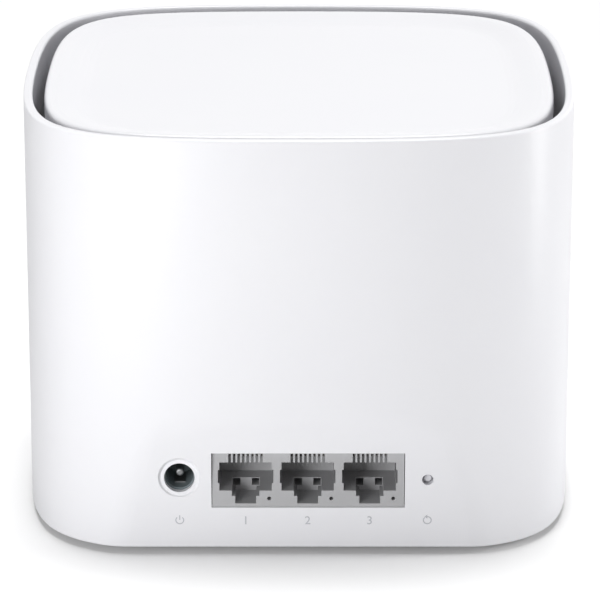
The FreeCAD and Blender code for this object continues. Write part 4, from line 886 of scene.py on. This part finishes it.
# ================================================================ studio
@dataclass
class Studio:
    """Camera, lamps, world and floor, in metres and degrees."""

    pitch_deg: float = 18.04
    distance: float = 0.9025
    aim_height: float = 0.0410
    lens_mm: float = 227.5
    sensor_mm: float = 36.0
    shift_x: float = 0.0017
    clip_near: float = 0.05
    clip_far: float = 200.0
    lamp_aim: tuple[float, float, float] = (0.0, 0.0, 0.05)
    world_strength: float = 0.15
    floor_half: float = 30.0
    floor_drop: float = 0.00002         # keeps the floor clear of the feet's soles
    paper: str = "#FCFCFC"
    paper_lift: float = 0.075           # light the paper is seen to give off, so that it ends plain white
    bounce: str = "#D6D6D6"             # what the paper sends up to the object

    def camera(self) -> None:
        """Create the camera and make it the scene's own."""
        data = bpy.data.cameras.new("studio_camera")
        data.sensor_width = self.sensor_mm
        data.lens = self.lens_mm
        data.shift_x = self.shift_x
        data.clip_start = self.clip_near
        data.clip_end = self.clip_far
        eye = bpy.data.objects.new("studio_camera", data)
        bpy.context.scene.collection.objects.link(eye)
        pitch = math.radians(self.pitch_deg)
        back = Vector((0.0, -math.cos(pitch), math.sin(pitch)))
        eye.location = Vector((0.0, 0.0, self.aim_height)) + back * self.distance
        eye.rotation_mode = "QUATERNION"
        eye.rotation_quaternion = (-back).to_track_quat("-Z", "Y")
        bpy.context.scene.camera = eye

    def sun(self, name: str, azimuth: float, height: float, strength: float, spread: float) -> None:
        """Add a soft sun.

        Args:
            name: the lamp's name.
            azimuth: degrees round from the port side, positive to the right.
            height: degrees above the floor.
            strength: irradiance in watts per square metre.
            spread: angular size in degrees.
        """
        data = bpy.data.lights.new(name, "SUN")
        data.energy = strength
        data.angle = math.radians(spread)
        lamp = bpy.data.objects.new(name, data)
        bpy.context.scene.collection.objects.link(lamp)
        turn, rise = math.radians(azimuth), math.radians(height)
        towards = Vector((math.sin(turn) * math.cos(rise), -math.cos(turn) * math.cos(rise), math.sin(rise)))
        lamp.rotation_mode = "QUATERNION"
        lamp.rotation_quaternion = (-towards).to_track_quat("-Z", "Y")

    def panel(self, name: str, place: tuple[float, float, float], size: tuple[float, float],
              power: float) -> None:
        """Add a near softbox that faces the middle of the object.

        Args:
            name: the lamp's name.
            place: its centre in metres.
            size: width and height in metres.
            power: radiant power in watts.
        """
        data = bpy.data.lights.new(name, "AREA")
        data.shape = "RECTANGLE"
        data.size, data.size_y = size
        data.energy = power
        lamp = bpy.data.objects.new(name, data)
        bpy.context.scene.collection.objects.link(lamp)
        lamp.location = place
        lamp.rotation_mode = "QUATERNION"
        lamp.rotation_quaternion = (Vector(self.lamp_aim) - Vector(place)).to_track_quat("-Z", "Y")
        lamp.visible_camera = False

    def world(self) -> None:
        """White to the camera, in reflections and through clear pieces, and a dim plain light otherwise."""
        world = bpy.data.worlds.new("studio_world")
        bpy.context.scene.world = world
        world.use_nodes = True
        tree = world.node_tree
        tree.nodes.clear()
        path = add_node(tree, "ShaderNodeLightPath").outputs
        plain = add_node(tree, "ShaderNodeBackground",
                         {"Color": (1, 1, 1, 1), "Strength": self.world_strength})
        white = add_node(tree, "ShaderNodeBackground", {"Color": (1, 1, 1, 1), "Strength": 1.0})
        either = add_node(tree, "ShaderNodeMath", {0: path["Is Camera Ray"], 1: path["Is Glossy Ray"]},
                          operation="MAXIMUM")
        any_of = add_node(tree, "ShaderNodeMath", {0: either.outputs[0], 1: path["Is Transmission Ray"]},
                          operation="MAXIMUM")
        mix = add_node(tree, "ShaderNodeMixShader",
                       {0: any_of.outputs[0], 1: plain.outputs[0], 2: white.outputs[0]})
        add_node(tree, "ShaderNodeOutputWorld", {"Surface": mix.outputs[0]})

    def floor(self) -> None:
        """A plain white floor that shows the object's shadow, and sends up less light than it shows."""
        half = self.floor_half
        mesh = bpy.data.meshes.new("studio_floor")
        corners = [(-half, -half), (half, -half), (half, half), (-half, half)]
        mesh.from_pydata([(x, y, -self.floor_drop) for x, y in corners], [], [(0, 1, 2, 3)])
        floor = bpy.data.objects.new("studio_floor", mesh)
        bpy.context.scene.collection.objects.link(floor)
        made = bpy.data.materials.new("white_paper_sweep")
        made.use_nodes = True
        tree = made.node_tree
        tree.nodes.clear()
        path = add_node(tree, "ShaderNodeLightPath")
        paper = add_node(tree, "ShaderNodeBsdfDiffuse", {"Color": linear(self.paper)})
        bounce = add_node(tree, "ShaderNodeBsdfDiffuse", {"Color": linear(self.bounce)})
        lift = add_node(tree, "ShaderNodeEmission", {"Color": (1, 1, 1, 1), "Strength": self.paper_lift})
        shown = add_node(tree, "ShaderNodeAddShader", {0: paper.outputs[0], 1: lift.outputs[0]})
        either = add_node(tree, "ShaderNodeMixShader",
                          {0: path.outputs["Is Camera Ray"], 1: bounce.outputs[0], 2: shown.outputs[0]})
        add_node(tree, "ShaderNodeOutputMaterial", {"Surface": either.outputs[0]})
        mesh.materials.append(made)

    def build(self) -> None:
        """Set up the whole studio."""
        self.camera()
        self.world()
        self.floor()
        self.sun("overhead_softbox", azimuth=180.0, height=79.0, strength=2.56, spread=30.0)
        self.panel("key_softbox_left", place=(-0.185, -0.36, 0.08), size=(0.15, 0.20), power=0.80)
        self.panel("strip_softbox_right", place=(0.40, -0.03, 0.09), size=(0.10, 0.24), power=0.78)
        bpy.context.scene.view_settings.view_transform = "Standard"
        log.info("studio ready")


def main() -> None:
    """Build every class in order."""
    logging.basicConfig(level=logging.INFO, format="%(message)s")
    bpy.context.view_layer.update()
    dress_cad_nodes()
    for node in ("shell_screws", "frame_screws"):
        PanHeadScrews(node).build()
    GripFeet().build()
    BoardPassives().build()
    SnapDome().build()
    PortMarks().build()
    RatingLabel().build()
    Studio().build()


if __name__ == "__main__":
    main()
